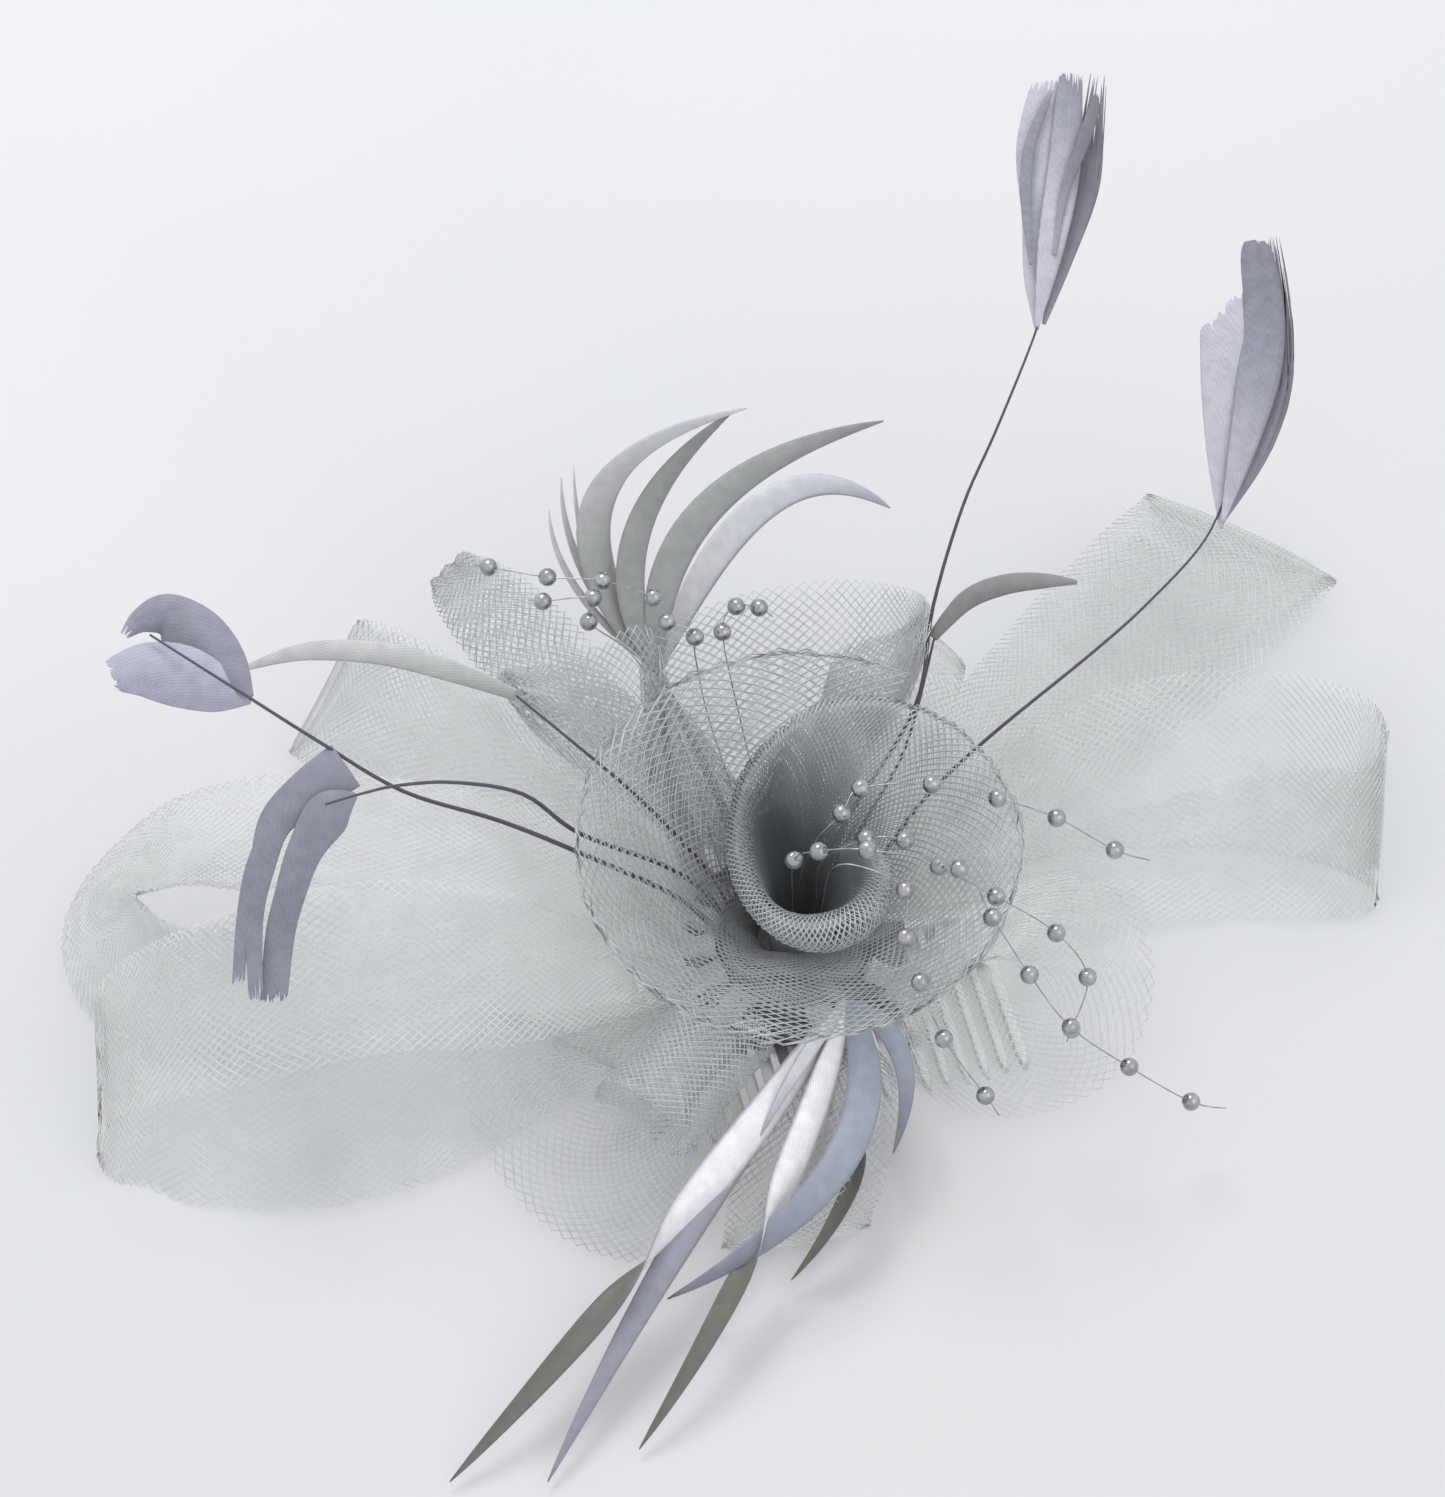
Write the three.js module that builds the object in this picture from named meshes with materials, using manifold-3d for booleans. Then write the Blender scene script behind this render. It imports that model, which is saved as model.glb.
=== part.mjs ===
// A fascinator of crinoline net: comb, felt base, rolled flower, loops, biots, quills and pearl strings.
// Millimetres, +Z up. The piece lies on its comb, and its front looks towards -Y.
import * as THREE from "three";
import { mergeGeometries, mergeVertices } from "three/addons/utils/BufferGeometryUtils.js";
import Module from "manifold-3d";

const wasm = await Module();
wasm.setup();

// Clearance between pieces that touch each other on the real object.
const GAP = 0.3;

const COMB = {
  width: 80,
  spineDepth: 6,
  spineThick: 3.2,
  toothLength: 38,
  toothWidth: 1.7,
  outerToothWidth: 2.2,
  toothThick: 2.2,
  toothPitch: 4.4,
  tipLength: 3,
  right: 3.5,
  back: 2,
  turn: 15,
};
const DISC = { radius: 25, thick: 2, sides: 32 };
const DISC_BASE = COMB.spineThick + GAP;
const DISC_TOP = DISC_BASE + DISC.thick;

// A flattened net tube is modelled as one wall.
const NET = { wall: 1.0, bandWidth: 40, crown: 1.2, stations: 16 };
const ROOT = { ring: 21, width: 5.4, tab: 3.3 };
// How far the longest loop and the longest feather reach from the middle, and the height that their
// rises are shares of. The spray's length follows the loops' reach, and its depth the feathers'.
const SPRAY = { reach: 155, rise: 40 };
const PLUMES = { reach: 160, rise: 108 };

// Every loop starts and ends on the disc at the angle root. Its reach and rise are shares of the spray's.
// In its rows, right and back are shares of its reach, up is a share of its rise, wide is a share of the
// band's width, and turn and tilt are the heading and the slope of the band's width in degrees.
const LOOPS = [
  {
    name: "loop_left_front",
    root: 206,
    reach: 0.968,
    rise: 1,
    rows: [
      { right: -0.27, back: -0.1, up: 0.5, wide: 0.55, turn: 98, tilt: 30 },
      { right: -0.42, back: -0.13, up: 0.72, wide: 0.85, turn: 94, tilt: 38 },
      { right: -0.57, back: -0.14, up: 0.8, wide: 0.95, turn: 91, tilt: 40 },
      { right: -0.76, back: -0.19, up: 0.75, wide: 0.98, turn: 90, tilt: 43 },
      { right: -0.89, back: -0.22, up: 0.57, wide: 0.92, turn: 92, tilt: 52 },
      { right: -0.94, back: -0.26, up: 0.36, wide: 0.9, turn: 90, tilt: 40 },
      { right: -0.9, back: -0.29, up: 0.17, wide: 0.85, turn: 90, tilt: 17 },
      { right: -0.71, back: -0.29, up: 0.12, wide: 0.85, turn: 94, tilt: 10 },
      { right: -0.53, back: -0.27, up: 0.1, wide: 0.85, turn: 90, tilt: 6 },
      { right: -0.34, back: -0.18, up: 0.12, wide: 0.55, turn: 102, tilt: 2 },
      { right: -0.23, back: -0.115, up: 0.12, wide: 0.28, turn: 114, tilt: 0 },
    ],
  },
  {
    name: "loop_left",
    root: 184,
    reach: 1,
    rise: 1,
    rows: [
      { right: -0.25, back: 0.035, up: 0.48, wide: 0.5, turn: 100, tilt: 0 },
      { right: -0.36, back: 0.065, up: 0.64, wide: 0.75, turn: 97, tilt: -10 },
      { right: -0.5, back: 0.08, up: 0.72, wide: 0.85, turn: 94, tilt: -14 },
      { right: -0.7, back: 0.09, up: 0.77, wide: 1, turn: 94, tilt: -20 },
      { right: -0.84, back: 0.085, up: 0.75, wide: 1.05, turn: 97, tilt: -28 },
      { right: -0.93, back: 0.05, up: 0.65, wide: 1.05, turn: 112, tilt: -42 },
      { right: -0.975, back: -0.01, up: 0.54, wide: 1.05, turn: 150, tilt: -56 },
      { right: -0.95, back: -0.08, up: 0.47, wide: 1, turn: 198, tilt: -60 },
      { right: -0.88, back: -0.12, up: 0.415, wide: 0.88, turn: 236, tilt: -56 },
      { right: -0.72, back: -0.125, up: 0.36, wide: 0.75, turn: 256, tilt: -46 },
      { right: -0.54, back: -0.085, up: 0.3, wide: 0.58, turn: 262, tilt: -32 },
      { right: -0.34, back: -0.01, up: 0.28, wide: 0.45, turn: 268, tilt: -10 },
      { right: -0.22, back: -0.01, up: 0.22, wide: 0.25, turn: 272, tilt: 0 },
    ],
  },
  {
    name: "loop_left_back",
    root: 163,
    reach: 0.761,
    rise: 1,
    rows: [
      { right: -0.32, back: 0.15, up: 0.36, wide: 0.5, turn: 76, tilt: 25 },
      { right: -0.46, back: 0.24, up: 0.48, wide: 0.7, turn: 74, tilt: 38 },
      { right: -0.66, back: 0.35, up: 0.57, wide: 0.83, turn: 71, tilt: 48 },
      { right: -0.83, back: 0.44, up: 0.56, wide: 0.95, turn: 50, tilt: 53 },
      { right: -0.9, back: 0.5, up: 0.47, wide: 0.95, turn: 44, tilt: 52 },
      { right: -0.82, back: 0.51, up: 0.38, wide: 0.85, turn: 50, tilt: 48 },
      { right: -0.64, back: 0.42, up: 0.32, wide: 0.75, turn: 71, tilt: 40 },
      { right: -0.4, back: 0.26, up: 0.22, wide: 0.45, turn: 80, tilt: 12 },
    ],
  },
  {
    name: "loop_left_top",
    root: 145,
    reach: 0.426,
    rise: 1,
    rows: [
      { right: -0.45, back: 0.45, up: 0.75, wide: 0.45, turn: 72, tilt: 35 },
      { right: -0.7, back: 0.56, up: 1, wide: 0.55, turn: 99, tilt: 50 },
      { right: -0.9, back: 0.6, up: 1.06, wide: 0.5, turn: 116, tilt: 48 },
      { right: -0.94, back: 0.65, up: 0.98, wide: 0.5, turn: 116, tilt: 48 },
      { right: -0.86, back: 0.68, up: 0.91, wide: 0.5, turn: 110, tilt: 46 },
      { right: -0.66, back: 0.63, up: 0.82, wide: 0.5, turn: 99, tilt: 44 },
      { right: -0.43, back: 0.5, up: 0.58, wide: 0.35, turn: 75, tilt: 25 },
    ],
  },
  {
    name: "loop_back_left",
    root: 121,
    reach: 0.645,
    rise: 1,
    rows: [
      { right: -0.23, back: 0.31, up: 0.33, wide: 0.36, turn: 30, tilt: 5 },
      { right: -0.42, back: 0.44, up: 0.56, wide: 0.5, turn: 24, tilt: 14 },
      { right: -0.57, back: 0.58, up: 0.78, wide: 0.58, turn: 22, tilt: 24 },
      { right: -0.69, back: 0.69, up: 0.97, wide: 0.6, turn: 24, tilt: 30 },
      { right: -0.75, back: 0.75, up: 1, wide: 0.56, turn: 26, tilt: 32 },
      { right: -0.77, back: 0.79, up: 0.9, wide: 0.56, turn: 26, tilt: 32 },
      { right: -0.73, back: 0.77, up: 0.72, wide: 0.56, turn: 24, tilt: 28 },
      { right: -0.56, back: 0.62, up: 0.46, wide: 0.5, turn: 24, tilt: 15 },
      { right: -0.33, back: 0.46, up: 0.29, wide: 0.35, turn: 30, tilt: 5 },
    ],
  },
  {
    name: "loop_back",
    root: 84,
    reach: 0.426,
    rise: 1.35,
    rows: [
      { right: 0.06, back: 0.5, up: 0.44, wide: 0.6, turn: -6, tilt: 0 },
      { right: 0.05, back: 0.72, up: 0.72, wide: 1.05, turn: -5, tilt: -3 },
      { right: 0.075, back: 0.87, up: 0.86, wide: 1.07, turn: -5, tilt: -4 },
      { right: 0.075, back: 0.97, up: 0.93, wide: 1.07, turn: -5, tilt: -4 },
      { right: 0.075, back: 1.03, up: 0.87, wide: 1.04, turn: -5, tilt: -4 },
      { right: 0.06, back: 0.98, up: 0.66, wide: 1, turn: -5, tilt: -3 },
      { right: 0.06, back: 0.72, up: 0.33, wide: 0.6, turn: -4, tilt: 0 },
    ],
  },
  {
    name: "loop_back_right",
    root: 64,
    reach: 0.477,
    rise: 0.65,
    rows: [
      { right: 0.3, back: 0.5, up: 0.6, wide: 0.36, turn: -26, tilt: 0 },
      { right: 0.38, back: 0.74, up: 0.85, wide: 0.42, turn: -30, tilt: -10 },
      { right: 0.42, back: 0.86, up: 1, wide: 0.42, turn: -38, tilt: -20 },
      { right: 0.44, back: 0.92, up: 0.9, wide: 0.42, turn: -38, tilt: -20 },
      { right: 0.42, back: 0.88, up: 0.66, wide: 0.42, turn: -34, tilt: -12 },
      { right: 0.32, back: 0.66, up: 0.38, wide: 0.38, turn: -28, tilt: 0 },
    ],
  },
  {
    name: "loop_right_back",
    root: 42,
    reach: 0.955,
    rise: 1,
    rows: [
      { right: 0.28, back: 0.3, up: 0.37, wide: 0.6, turn: 125, tilt: 12 },
      { right: 0.41, back: 0.41, up: 0.45, wide: 0.85, turn: 140, tilt: 14 },
      { right: 0.54, back: 0.53, up: 0.45, wide: 1.05, turn: 152, tilt: 14 },
      { right: 0.68, back: 0.67, up: 0.37, wide: 1.2, turn: 160, tilt: 14 },
      { right: 0.71, back: 0.71, up: 0.28, wide: 1.2, turn: 160, tilt: 13 },
      { right: 0.69, back: 0.68, up: 0.17, wide: 1.15, turn: 159, tilt: 11 },
      { right: 0.57, back: 0.54, up: 0.12, wide: 1.1, turn: 158, tilt: 6 },
      { right: 0.41, back: 0.37, up: 0.13, wide: 0.8, turn: 140, tilt: 5 },
      { right: 0.27, back: 0.25, up: 0.15, wide: 0.5, turn: 128, tilt: 2 },
    ],
  },
  {
    name: "loop_right",
    root: 20,
    reach: 0.865,
    rise: 1,
    rows: [
      { right: 0.33, back: 0.16, up: 0.5, wide: 0.55, turn: 105, tilt: 25 },
      { right: 0.43, back: 0.21, up: 0.67, wide: 0.78, turn: 101, tilt: 38 },
      { right: 0.6, back: 0.23, up: 0.77, wide: 0.97, turn: 99, tilt: 44 },
      { right: 0.78, back: 0.24, up: 0.73, wide: 1.05, turn: 96, tilt: 47 },
      { right: 0.92, back: 0.22, up: 0.62, wide: 1.07, turn: 91, tilt: 48 },
      { right: 0.97, back: 0.185, up: 0.48, wide: 1, turn: 88, tilt: 48 },
      { right: 0.93, back: 0.155, up: 0.37, wide: 0.9, turn: 90, tilt: 46 },
      { right: 0.8, back: 0.155, up: 0.35, wide: 0.85, turn: 93, tilt: 44 },
      { right: 0.58, back: 0.125, up: 0.29, wide: 0.7, turn: 98, tilt: 38 },
      { right: 0.36, back: 0.1, up: 0.22, wide: 0.45, turn: 104, tilt: 18 },
    ],
  },
  {
    name: "loop_front_right",
    root: 335,
    reach: 0.503,
    rise: 0.5,
    rows: [
      { right: 0.42, back: -0.08, up: 0.6, wide: 0.5, turn: 68, tilt: 0 },
      { right: 0.57, back: 0, up: 0.66, wide: 0.8, turn: 55, tilt: 0 },
      { right: 0.69, back: -0.02, up: 0.78, wide: 0.95, turn: 34, tilt: -2 },
      { right: 0.75, back: -0.14, up: 0.8, wide: 1, turn: 2, tilt: -8 },
      { right: 0.71, back: -0.28, up: 0.62, wide: 0.98, turn: -34, tilt: -10 },
      { right: 0.59, back: -0.34, up: 0.46, wide: 0.9, turn: -64, tilt: -8 },
      { right: 0.45, back: -0.34, up: 0.36, wide: 0.8, turn: -84, tilt: -4 },
      { right: 0.33, back: -0.27, up: 0.36, wide: 0.5, turn: -104, tilt: 0 },
    ],
  },
  {
    name: "loop_front",
    root: 286,
    reach: 0.49,
    rise: 0.5,
    rows: [
      { right: 0.14, back: -0.43, up: 0.72, wide: 0.45, turn: -8, tilt: 0 },
      { right: 0.11, back: -0.6, up: 0.8, wide: 0.65, turn: -4, tilt: 0 },
      { right: 0.04, back: -0.8, up: 0.66, wide: 0.82, turn: 3, tilt: 0 },
      { right: 0, back: -0.93, up: 0.4, wide: 0.8, turn: 8, tilt: 0 },
      { right: 0, back: -0.92, up: 0.18, wide: 0.8, turn: 8, tilt: 0 },
      { right: 0.05, back: -0.68, up: 0.24, wide: 0.7, turn: 2, tilt: 0 },
      { right: 0.12, back: -0.43, up: 0.3, wide: 0.45, turn: -4, tilt: 0 },
    ],
  },
  {
    name: "loop_front_left",
    root: 231,
    reach: 0.548,
    rise: 0.5,
    rows: [
      { right: -0.34, back: -0.27, up: 0.44, wide: 0.46, turn: 134, tilt: 0 },
      { right: -0.5, back: -0.34, up: 0.45, wide: 0.8, turn: 146, tilt: 2 },
      { right: -0.62, back: -0.35, up: 0.62, wide: 0.9, turn: 162, tilt: 6 },
      { right: -0.63, back: -0.46, up: 0.56, wide: 0.95, turn: 184, tilt: 4 },
      { right: -0.54, back: -0.6, up: 0.36, wide: 0.95, turn: 216, tilt: -2 },
      { right: -0.42, back: -0.67, up: 0.2, wide: 0.95, turn: 244, tilt: -3 },
      { right: -0.29, back: -0.66, up: 0.16, wide: 0.9, turn: 266, tilt: -2 },
      { right: -0.22, back: -0.52, up: 0.2, wide: 0.6, turn: 300, tilt: 0 },
      { right: -0.2, back: -0.36, up: 0.26, wide: 0.3, turn: 318, tilt: 0 },
    ],
  },
];

// The curl is a short roll of band in front. Its rows have the loops' columns, and it has no root tab:
// the rear edge of its lowest turn lies on the disc.
const CURL = {
  name: "curl",
  reach: 0.297,
  rise: 0.825,
  rows: [
    { right: -0.41, back: -0.8, up: 0.27, wide: 0.98, turn: 233, tilt: 6 },
    { right: -0.6, back: -0.73, up: 0.36, wide: 0.76, turn: 233, tilt: 4 },
    { right: -0.72, back: -0.7, up: 0.56, wide: 0.84, turn: 233, tilt: 0 },
    { right: -0.67, back: -0.75, up: 0.86, wide: 0.8, turn: 233, tilt: 0 },
    { right: -0.52, back: -0.86, up: 1, wide: 0.8, turn: 233, tilt: 0 },
    { right: -0.36, back: -0.96, up: 0.86, wide: 0.8, turn: 233, tilt: 0 },
    { right: -0.32, back: -1, up: 0.58, wide: 0.8, turn: 233, tilt: 0 },
    { right: -0.38, back: -0.96, up: 0.42, wide: 0.8, turn: 233, tilt: 2 },
  ],
};

// The flower is one band rolled up. Rows give, at each angle of the roll in degrees, the rim's radius,
// the foot's radius and the rim's height as shares, and how far the axis has moved to the inner roll's.
const FLOWER = {
  rimRadius: 47,
  footRadius: 12,
  height: 44,
  start: 60,
  rollRight: 3,
  rollBack: -9,
  footShift: 0.25,
  flare: 1.8,
  lip: 2.2,
  lipDrop: 0.9,
  stations: 32,
  rows: [
    { at: 0, rim: 1.03, foot: 1, up: 1, shift: 0 },
    { at: 120, rim: 1, foot: 0.95, up: 1, shift: 0 },
    { at: 240, rim: 1, foot: 0.9, up: 0.98, shift: 0 },
    { at: 330, rim: 0.98, foot: 0.86, up: 1.02, shift: 0 },
    { at: 375, rim: 0.86, foot: 0.8, up: 1.12, shift: 0.1 },
    { at: 420, rim: 0.58, foot: 0.72, up: 1.2, shift: 0.45 },
    { at: 480, rim: 0.38, foot: 0.62, up: 1.22, shift: 0.9 },
    { at: 570, rim: 0.36, foot: 0.55, up: 1.14, shift: 1 },
    { at: 660, rim: 0.34, foot: 0.48, up: 1.18, shift: 1 },
    { at: 700, rim: 0.24, foot: 0.42, up: 1.14, shift: 1 },
  ],
};
// Heights up the flower's wall, as shares, where its profile has a point.
const FLOWER_PROFILE = [0, 0.3, 0.55, 0.8, 1];

// Feathers stand upright on the disc, midway between the flower's foot and the ring of loop roots.
const STUB_RING = (FLOWER.footRadius + ROOT.ring - ROOT.tab) / 2;
const STUB_RISE = 3;

// A blade faces this way unless it leans.
const FACE = new THREE.Vector3(0, -0.5, 0.87);
// A blade is thick along its middle line and thin at its edges.
const BLADE = { thick: 1, edge: 0.4, stations: 6 };
// Shares of a biot's width at its root and its tip, and how far towards its root it is widest.
const BIOT = { width: 6, root: 0.3, tip: 0.06, belly: 0.7 };
// Sides and steps of the tubes that make up bundles and stems.
const BUNDLE_TUBE = { sides: 5, steps: 8 };
const STEM_TUBE = { sides: 4, steps: 10 };

// Two fans of biots. Each is bound on a quill bundle that stands at the angle root and follows route,
// and its biots spring from the bundle's end. Reach and rise are shares of the plumes'. Points hold
// right, back and up: the first two as shares of reach, the third as a share of rise. bend pulls a
// biot's middle towards it.
const FANS = [
  {
    name: "biots_back",
    root: 134,
    reach: 0.562,
    rise: 0.852,
    bundle: 1.5,
    route: [
      [-0.19, 0.34, 0.2],
      [-0.34, 0.6, 0.36],
    ],
    biots: [
      { bend: [-0.73, 0.87, 0.84], tip: [-0.12, 0.92, 1], wide: 1, lean: -25 },
      { bend: [-0.53, 0.77, 0.72], tip: [-0.15, 0.93, 0.98], wide: 0.8, lean: -20 },
      { bend: [-0.38, 0.85, 0.82], tip: [0.21, 0.95, 0.91], wide: 0.95, lean: -10 },
      { bend: [-0.09, 1.04, 0.8], tip: [0.23, 0.83, 0.72], wide: 0.8, lean: 0 },
    ],
  },
  {
    name: "biots_front",
    root: 300,
    reach: 0.906,
    rise: 0.222,
    bundle: 1.6,
    route: [
      [0.065, -0.125, 0.55],
      [0.075, -0.15, 0.75],
    ],
    biots: [
      { bend: [-0.18, -0.57, 1.1], tip: [-0.5, -0.87, 0.08], wide: 1.1, lean: 0 },
      { bend: [-0.145, -0.476, 1.02], tip: [-0.36, -0.87, 0.08], wide: 1, lean: 0 },
      { bend: [-0.015, -0.54, 1.1], tip: [-0.23, -0.82, 0.08], wide: 0.9, lean: 0 },
      { bend: [0.18, -0.48, 1.35], tip: [-0.19, -0.61, 0.42], wide: 1.2, lean: 0 },
      { bend: [0.165, -0.4, 0.98], tip: [-0.01, -0.56, 0.16], wide: 0.8, lean: 0 },
      { bend: [0.2, -0.26, 1.27], tip: [0.14, -0.39, 0.6], wide: 0.6, lean: 0 },
      { bend: [0.005, -0.265, 1.06], tip: [-0.055, -0.38, 0.83], wide: 0.45, lean: 0 },
    ],
  },
];

// Quills and single biots. Reach and rise are shares of the plumes'. The stem's rows and the blade's rows have right and back as shares of reach
// and up as a share of rise. wide is a share of the blade's width.
const FEATHERS = [
  {
    name: "quill_back",
    root: 70,
    reach: 1,
    rise: 1,
    stem: 1.3,
    width: 17,
    route: [
      [0.07, 0.14, 0.19],
      [0.165, 0.265, 0.33],
      [0.19, 0.38, 0.45],
      [0.23, 0.49, 0.57],
      [0.275, 0.57, 0.67],
      [0.325, 0.67, 0.78],
    ],
    blade: [
      { right: 0.33, back: 0.68, up: 0.79, wide: 0.12, turn: 0, tilt: 0 },
      { right: 0.34, back: 0.75, up: 0.84, wide: 0.5, turn: 0, tilt: 0 },
      { right: 0.355, back: 0.84, up: 0.91, wide: 0.85, turn: 0, tilt: 0 },
      { right: 0.37, back: 0.93, up: 0.96, wide: 1, turn: 0, tilt: 0 },
      { right: 0.38, back: 1, up: 1, wide: 0.9, turn: 0, tilt: 0 },
    ],
  },
  {
    name: "quill_right",
    root: 38,
    reach: 0.775,
    rise: 0.926,
    stem: 1.3,
    width: 20,
    route: [
      [0.16, 0.12, 0.2],
      [0.23, 0.17, 0.33],
      [0.34, 0.24, 0.44],
      [0.51, 0.34, 0.57],
      [0.61, 0.41, 0.64],
      [0.71, 0.5, 0.72],
    ],
    blade: [
      { right: 0.715, back: 0.51, up: 0.73, wide: 0.12, turn: 0, tilt: 0 },
      { right: 0.74, back: 0.6, up: 0.8, wide: 0.5, turn: 0, tilt: 0 },
      { right: 0.765, back: 0.72, up: 0.87, wide: 0.9, turn: 0, tilt: 0 },
      { right: 0.785, back: 0.84, up: 0.93, wide: 1, turn: 0, tilt: 0 },
      { right: 0.8, back: 0.93, up: 0.98, wide: 0.75, turn: 0, tilt: 0 },
      { right: 0.815, back: 1, up: 1, wide: 0.35, turn: 0, tilt: 0 },
    ],
  },
  {
    name: "quill_left_back",
    root: 186,
    reach: 0.894,
    rise: 0.806,
    stem: 1.5,
    width: 29,
    route: [
      [-0.135, -0.01, 0.2],
      [-0.19, -0.01, 0.34],
      [-0.31, 0, 0.49],
      [-0.44, 0.015, 0.62],
      [-0.58, 0.03, 0.76],
      [-0.79, 0.1, 0.92],
    ],
    blade: [
      { right: -0.8, back: 0.1, up: 0.93, wide: 0.1, turn: 108, tilt: 10 },
      { right: -0.84, back: 0.12, up: 0.95, wide: 0.65, turn: 108, tilt: 10 },
      { right: -0.89, back: 0.14, up: 0.97, wide: 1, turn: 108, tilt: 10 },
      { right: -0.95, back: 0.16, up: 0.99, wide: 0.9, turn: 108, tilt: 10 },
      { right: -1, back: 0.18, up: 1, wide: 0.5, turn: 108, tilt: 10 },
    ],
  },
  {
    name: "quill_left",
    root: 171,
    reach: 0.713,
    rise: 0.685,
    stem: 1.5,
    width: 15,
    route: [
      [-0.17, 0.03, 0.28],
      [-0.25, 0.045, 0.41],
      [-0.41, 0.04, 0.61],
      [-0.51, 0.05, 0.8],
      [-0.63, 0.02, 0.94],
      [-0.73, -0.01, 1],
      [-0.8, -0.03, 1],
    ],
    blade: [
      { right: -0.81, back: -0.03, up: 0.99, wide: 0.15, turn: -10, tilt: 0 },
      { right: -0.86, back: -0.06, up: 0.95, wide: 0.7, turn: -10, tilt: 0 },
      { right: -0.92, back: -0.13, up: 0.85, wide: 0.95, turn: -10, tilt: 0 },
      { right: -0.96, back: -0.21, up: 0.74, wide: 1, turn: -10, tilt: 0 },
      { right: -0.98, back: -0.3, up: 0.61, wide: 0.85, turn: -10, tilt: 0 },
    ],
  },
  {
    name: "biot_left",
    root: 158,
    reach: 0.744,
    rise: 0.583,
    stem: 1.5,
    width: 5,
    route: [
      [-0.17, 0.1, 0.3],
      [-0.285, 0.16, 0.56],
      [-0.4, 0.23, 0.7],
      [-0.52, 0.3, 0.84],
    ],
    blade: [
      { right: -0.51, back: 0.295, up: 0.83, wide: 0.5, turn: 100, tilt: 10 },
      { right: -0.62, back: 0.31, up: 0.93, wide: 0.9, turn: 95, tilt: 10 },
      { right: -0.75, back: 0.33, up: 0.99, wide: 1, turn: 92, tilt: 10 },
      { right: -0.89, back: 0.33, up: 1, wide: 0.75, turn: 88, tilt: 10 },
      { right: -1, back: 0.3, up: 0.98, wide: 0.2, turn: 84, tilt: 10 },
    ],
  },
  {
    name: "biot_right",
    root: 54,
    reach: 0.412,
    rise: 0.556,
    stem: 1.5,
    width: 4.5,
    route: [
      [0.22, 0.32, 0.32],
      [0.37, 0.55, 0.48],
      [0.47, 0.86, 0.73],
    ],
    blade: [
      { right: 0.46, back: 0.85, up: 0.72, wide: 0.5, turn: 120, tilt: 20 },
      { right: 0.57, back: 0.93, up: 0.83, wide: 0.95, turn: 105, tilt: 20 },
      { right: 0.69, back: 0.95, up: 0.9, wide: 1, turn: 95, tilt: 20 },
      { right: 0.82, back: 0.93, up: 0.96, wide: 0.75, turn: 85, tilt: 20 },
      { right: 0.93, back: 0.9, up: 1, wide: 0.2, turn: 78, tilt: 20 },
    ],
  },
];

const BEAD = { radius: 2, sides: 10, rings: 4 };
const THREAD = { width: 0.8, sides: 3, stepsPerSpan: 2 };

// The pearl strings: foot is where the thread leaves the disc, and route the chosen points after it, in
// mm. Each route point from the index first to the index last carries a bead.
const STRINGS = [
  {
    name: "beads_front_a",
    first: 2,
    last: 7,
    foot: [-1, 0],
    route: [
      [0, -4, 34], [3, -5, 56], [9, -2, 64], [13, 3, 66], [28, 4, 66],
      [42, 3, 62], [55, 3, 54], [68, 1, 44], [76, 2, 38],
    ],
  },
  {
    name: "beads_front_b",
    first: 2,
    last: 8,
    foot: [3, -1],
    route: [
      [4, -6, 34], [5, -9, 56], [14, -10, 67], [22, -11, 68], [29, -16, 66],
      [41, -21, 62], [54, -24, 52], [61, -29, 42], [58, -36, 32], [57, -38, 30],
    ],
  },
  {
    name: "beads_front_c",
    first: 1,
    last: 9,
    foot: [-1, -4],
    route: [
      [-1, -9, 38], [-1, -11, 60], [4, -13, 67], [14, -15, 71], [33, -19, 70],
      [40, -26, 62], [48, -34, 52], [57, -41, 42], [70, -44, 30], [84, -46, 18], [92, -45, 13],
    ],
  },
  {
    name: "beads_front_d",
    first: 3,
    last: 7,
    foot: [3, -4],
    route: [
      [5, -10, 36], [7, -13, 60], [14, -15, 63.5], [22, -20, 63], [22, -29, 59],
      [25, -38, 56], [30, -47, 48], [39, -54, 36], [42, -56, 31],
    ],
  },
  {
    name: "beads_back_a",
    first: 3,
    last: 8,
    foot: [-6, 14.3],
    route: [
      [-12, 24, 22], [-19, 38, 38], [-22, 47, 50], [-22, 47, 57], [-28, 49, 60],
      [-31, 54, 62], [-42, 57, 64], [-54, 58, 64], [-67, 62, 62], [-70, 63, 61],
    ],
  },
  {
    name: "beads_back_b",
    first: 3,
    last: 5,
    foot: [-13.4, 7.8],
    route: [
      [-19, 18, 24], [-25, 33, 37], [-35, 46, 50], [-45, 49, 60], [-44, 52.5, 64],
      [-55, 53, 62], [-58, 54, 61],
    ],
  },
  {
    name: "beads_back_c",
    first: 2,
    last: 4,
    foot: [-2.5, 15.3],
    route: [
      [-7, 24, 22], [-12, 38, 37], [-16, 51, 53], [-13, 55, 57], [-8, 56, 55],
      [-5, 55, 53],
    ],
  },
];

// Smooth curve through rows of numbers: the value at u, from 0 at the first row to 1 at the last.
function throughRows(rows, u) {
  const spans = rows.length - 1;
  const place = Math.min(u * spans, spans - 1e-9);
  const at = Math.floor(place);
  const t = place - at;
  const row = (i) => rows[Math.min(Math.max(i, 0), spans)];
  return rows[0].map((_, k) => {
    const [a, b, c, d] = [row(at - 1)[k], row(at)[k], row(at + 1)[k], row(at + 2)[k]];
    return b + 0.5 * t * (c - a + t * (2 * a - 5 * b + 4 * c - d + t * (3 * (b - c) + d - a)));
  });
}

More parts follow.
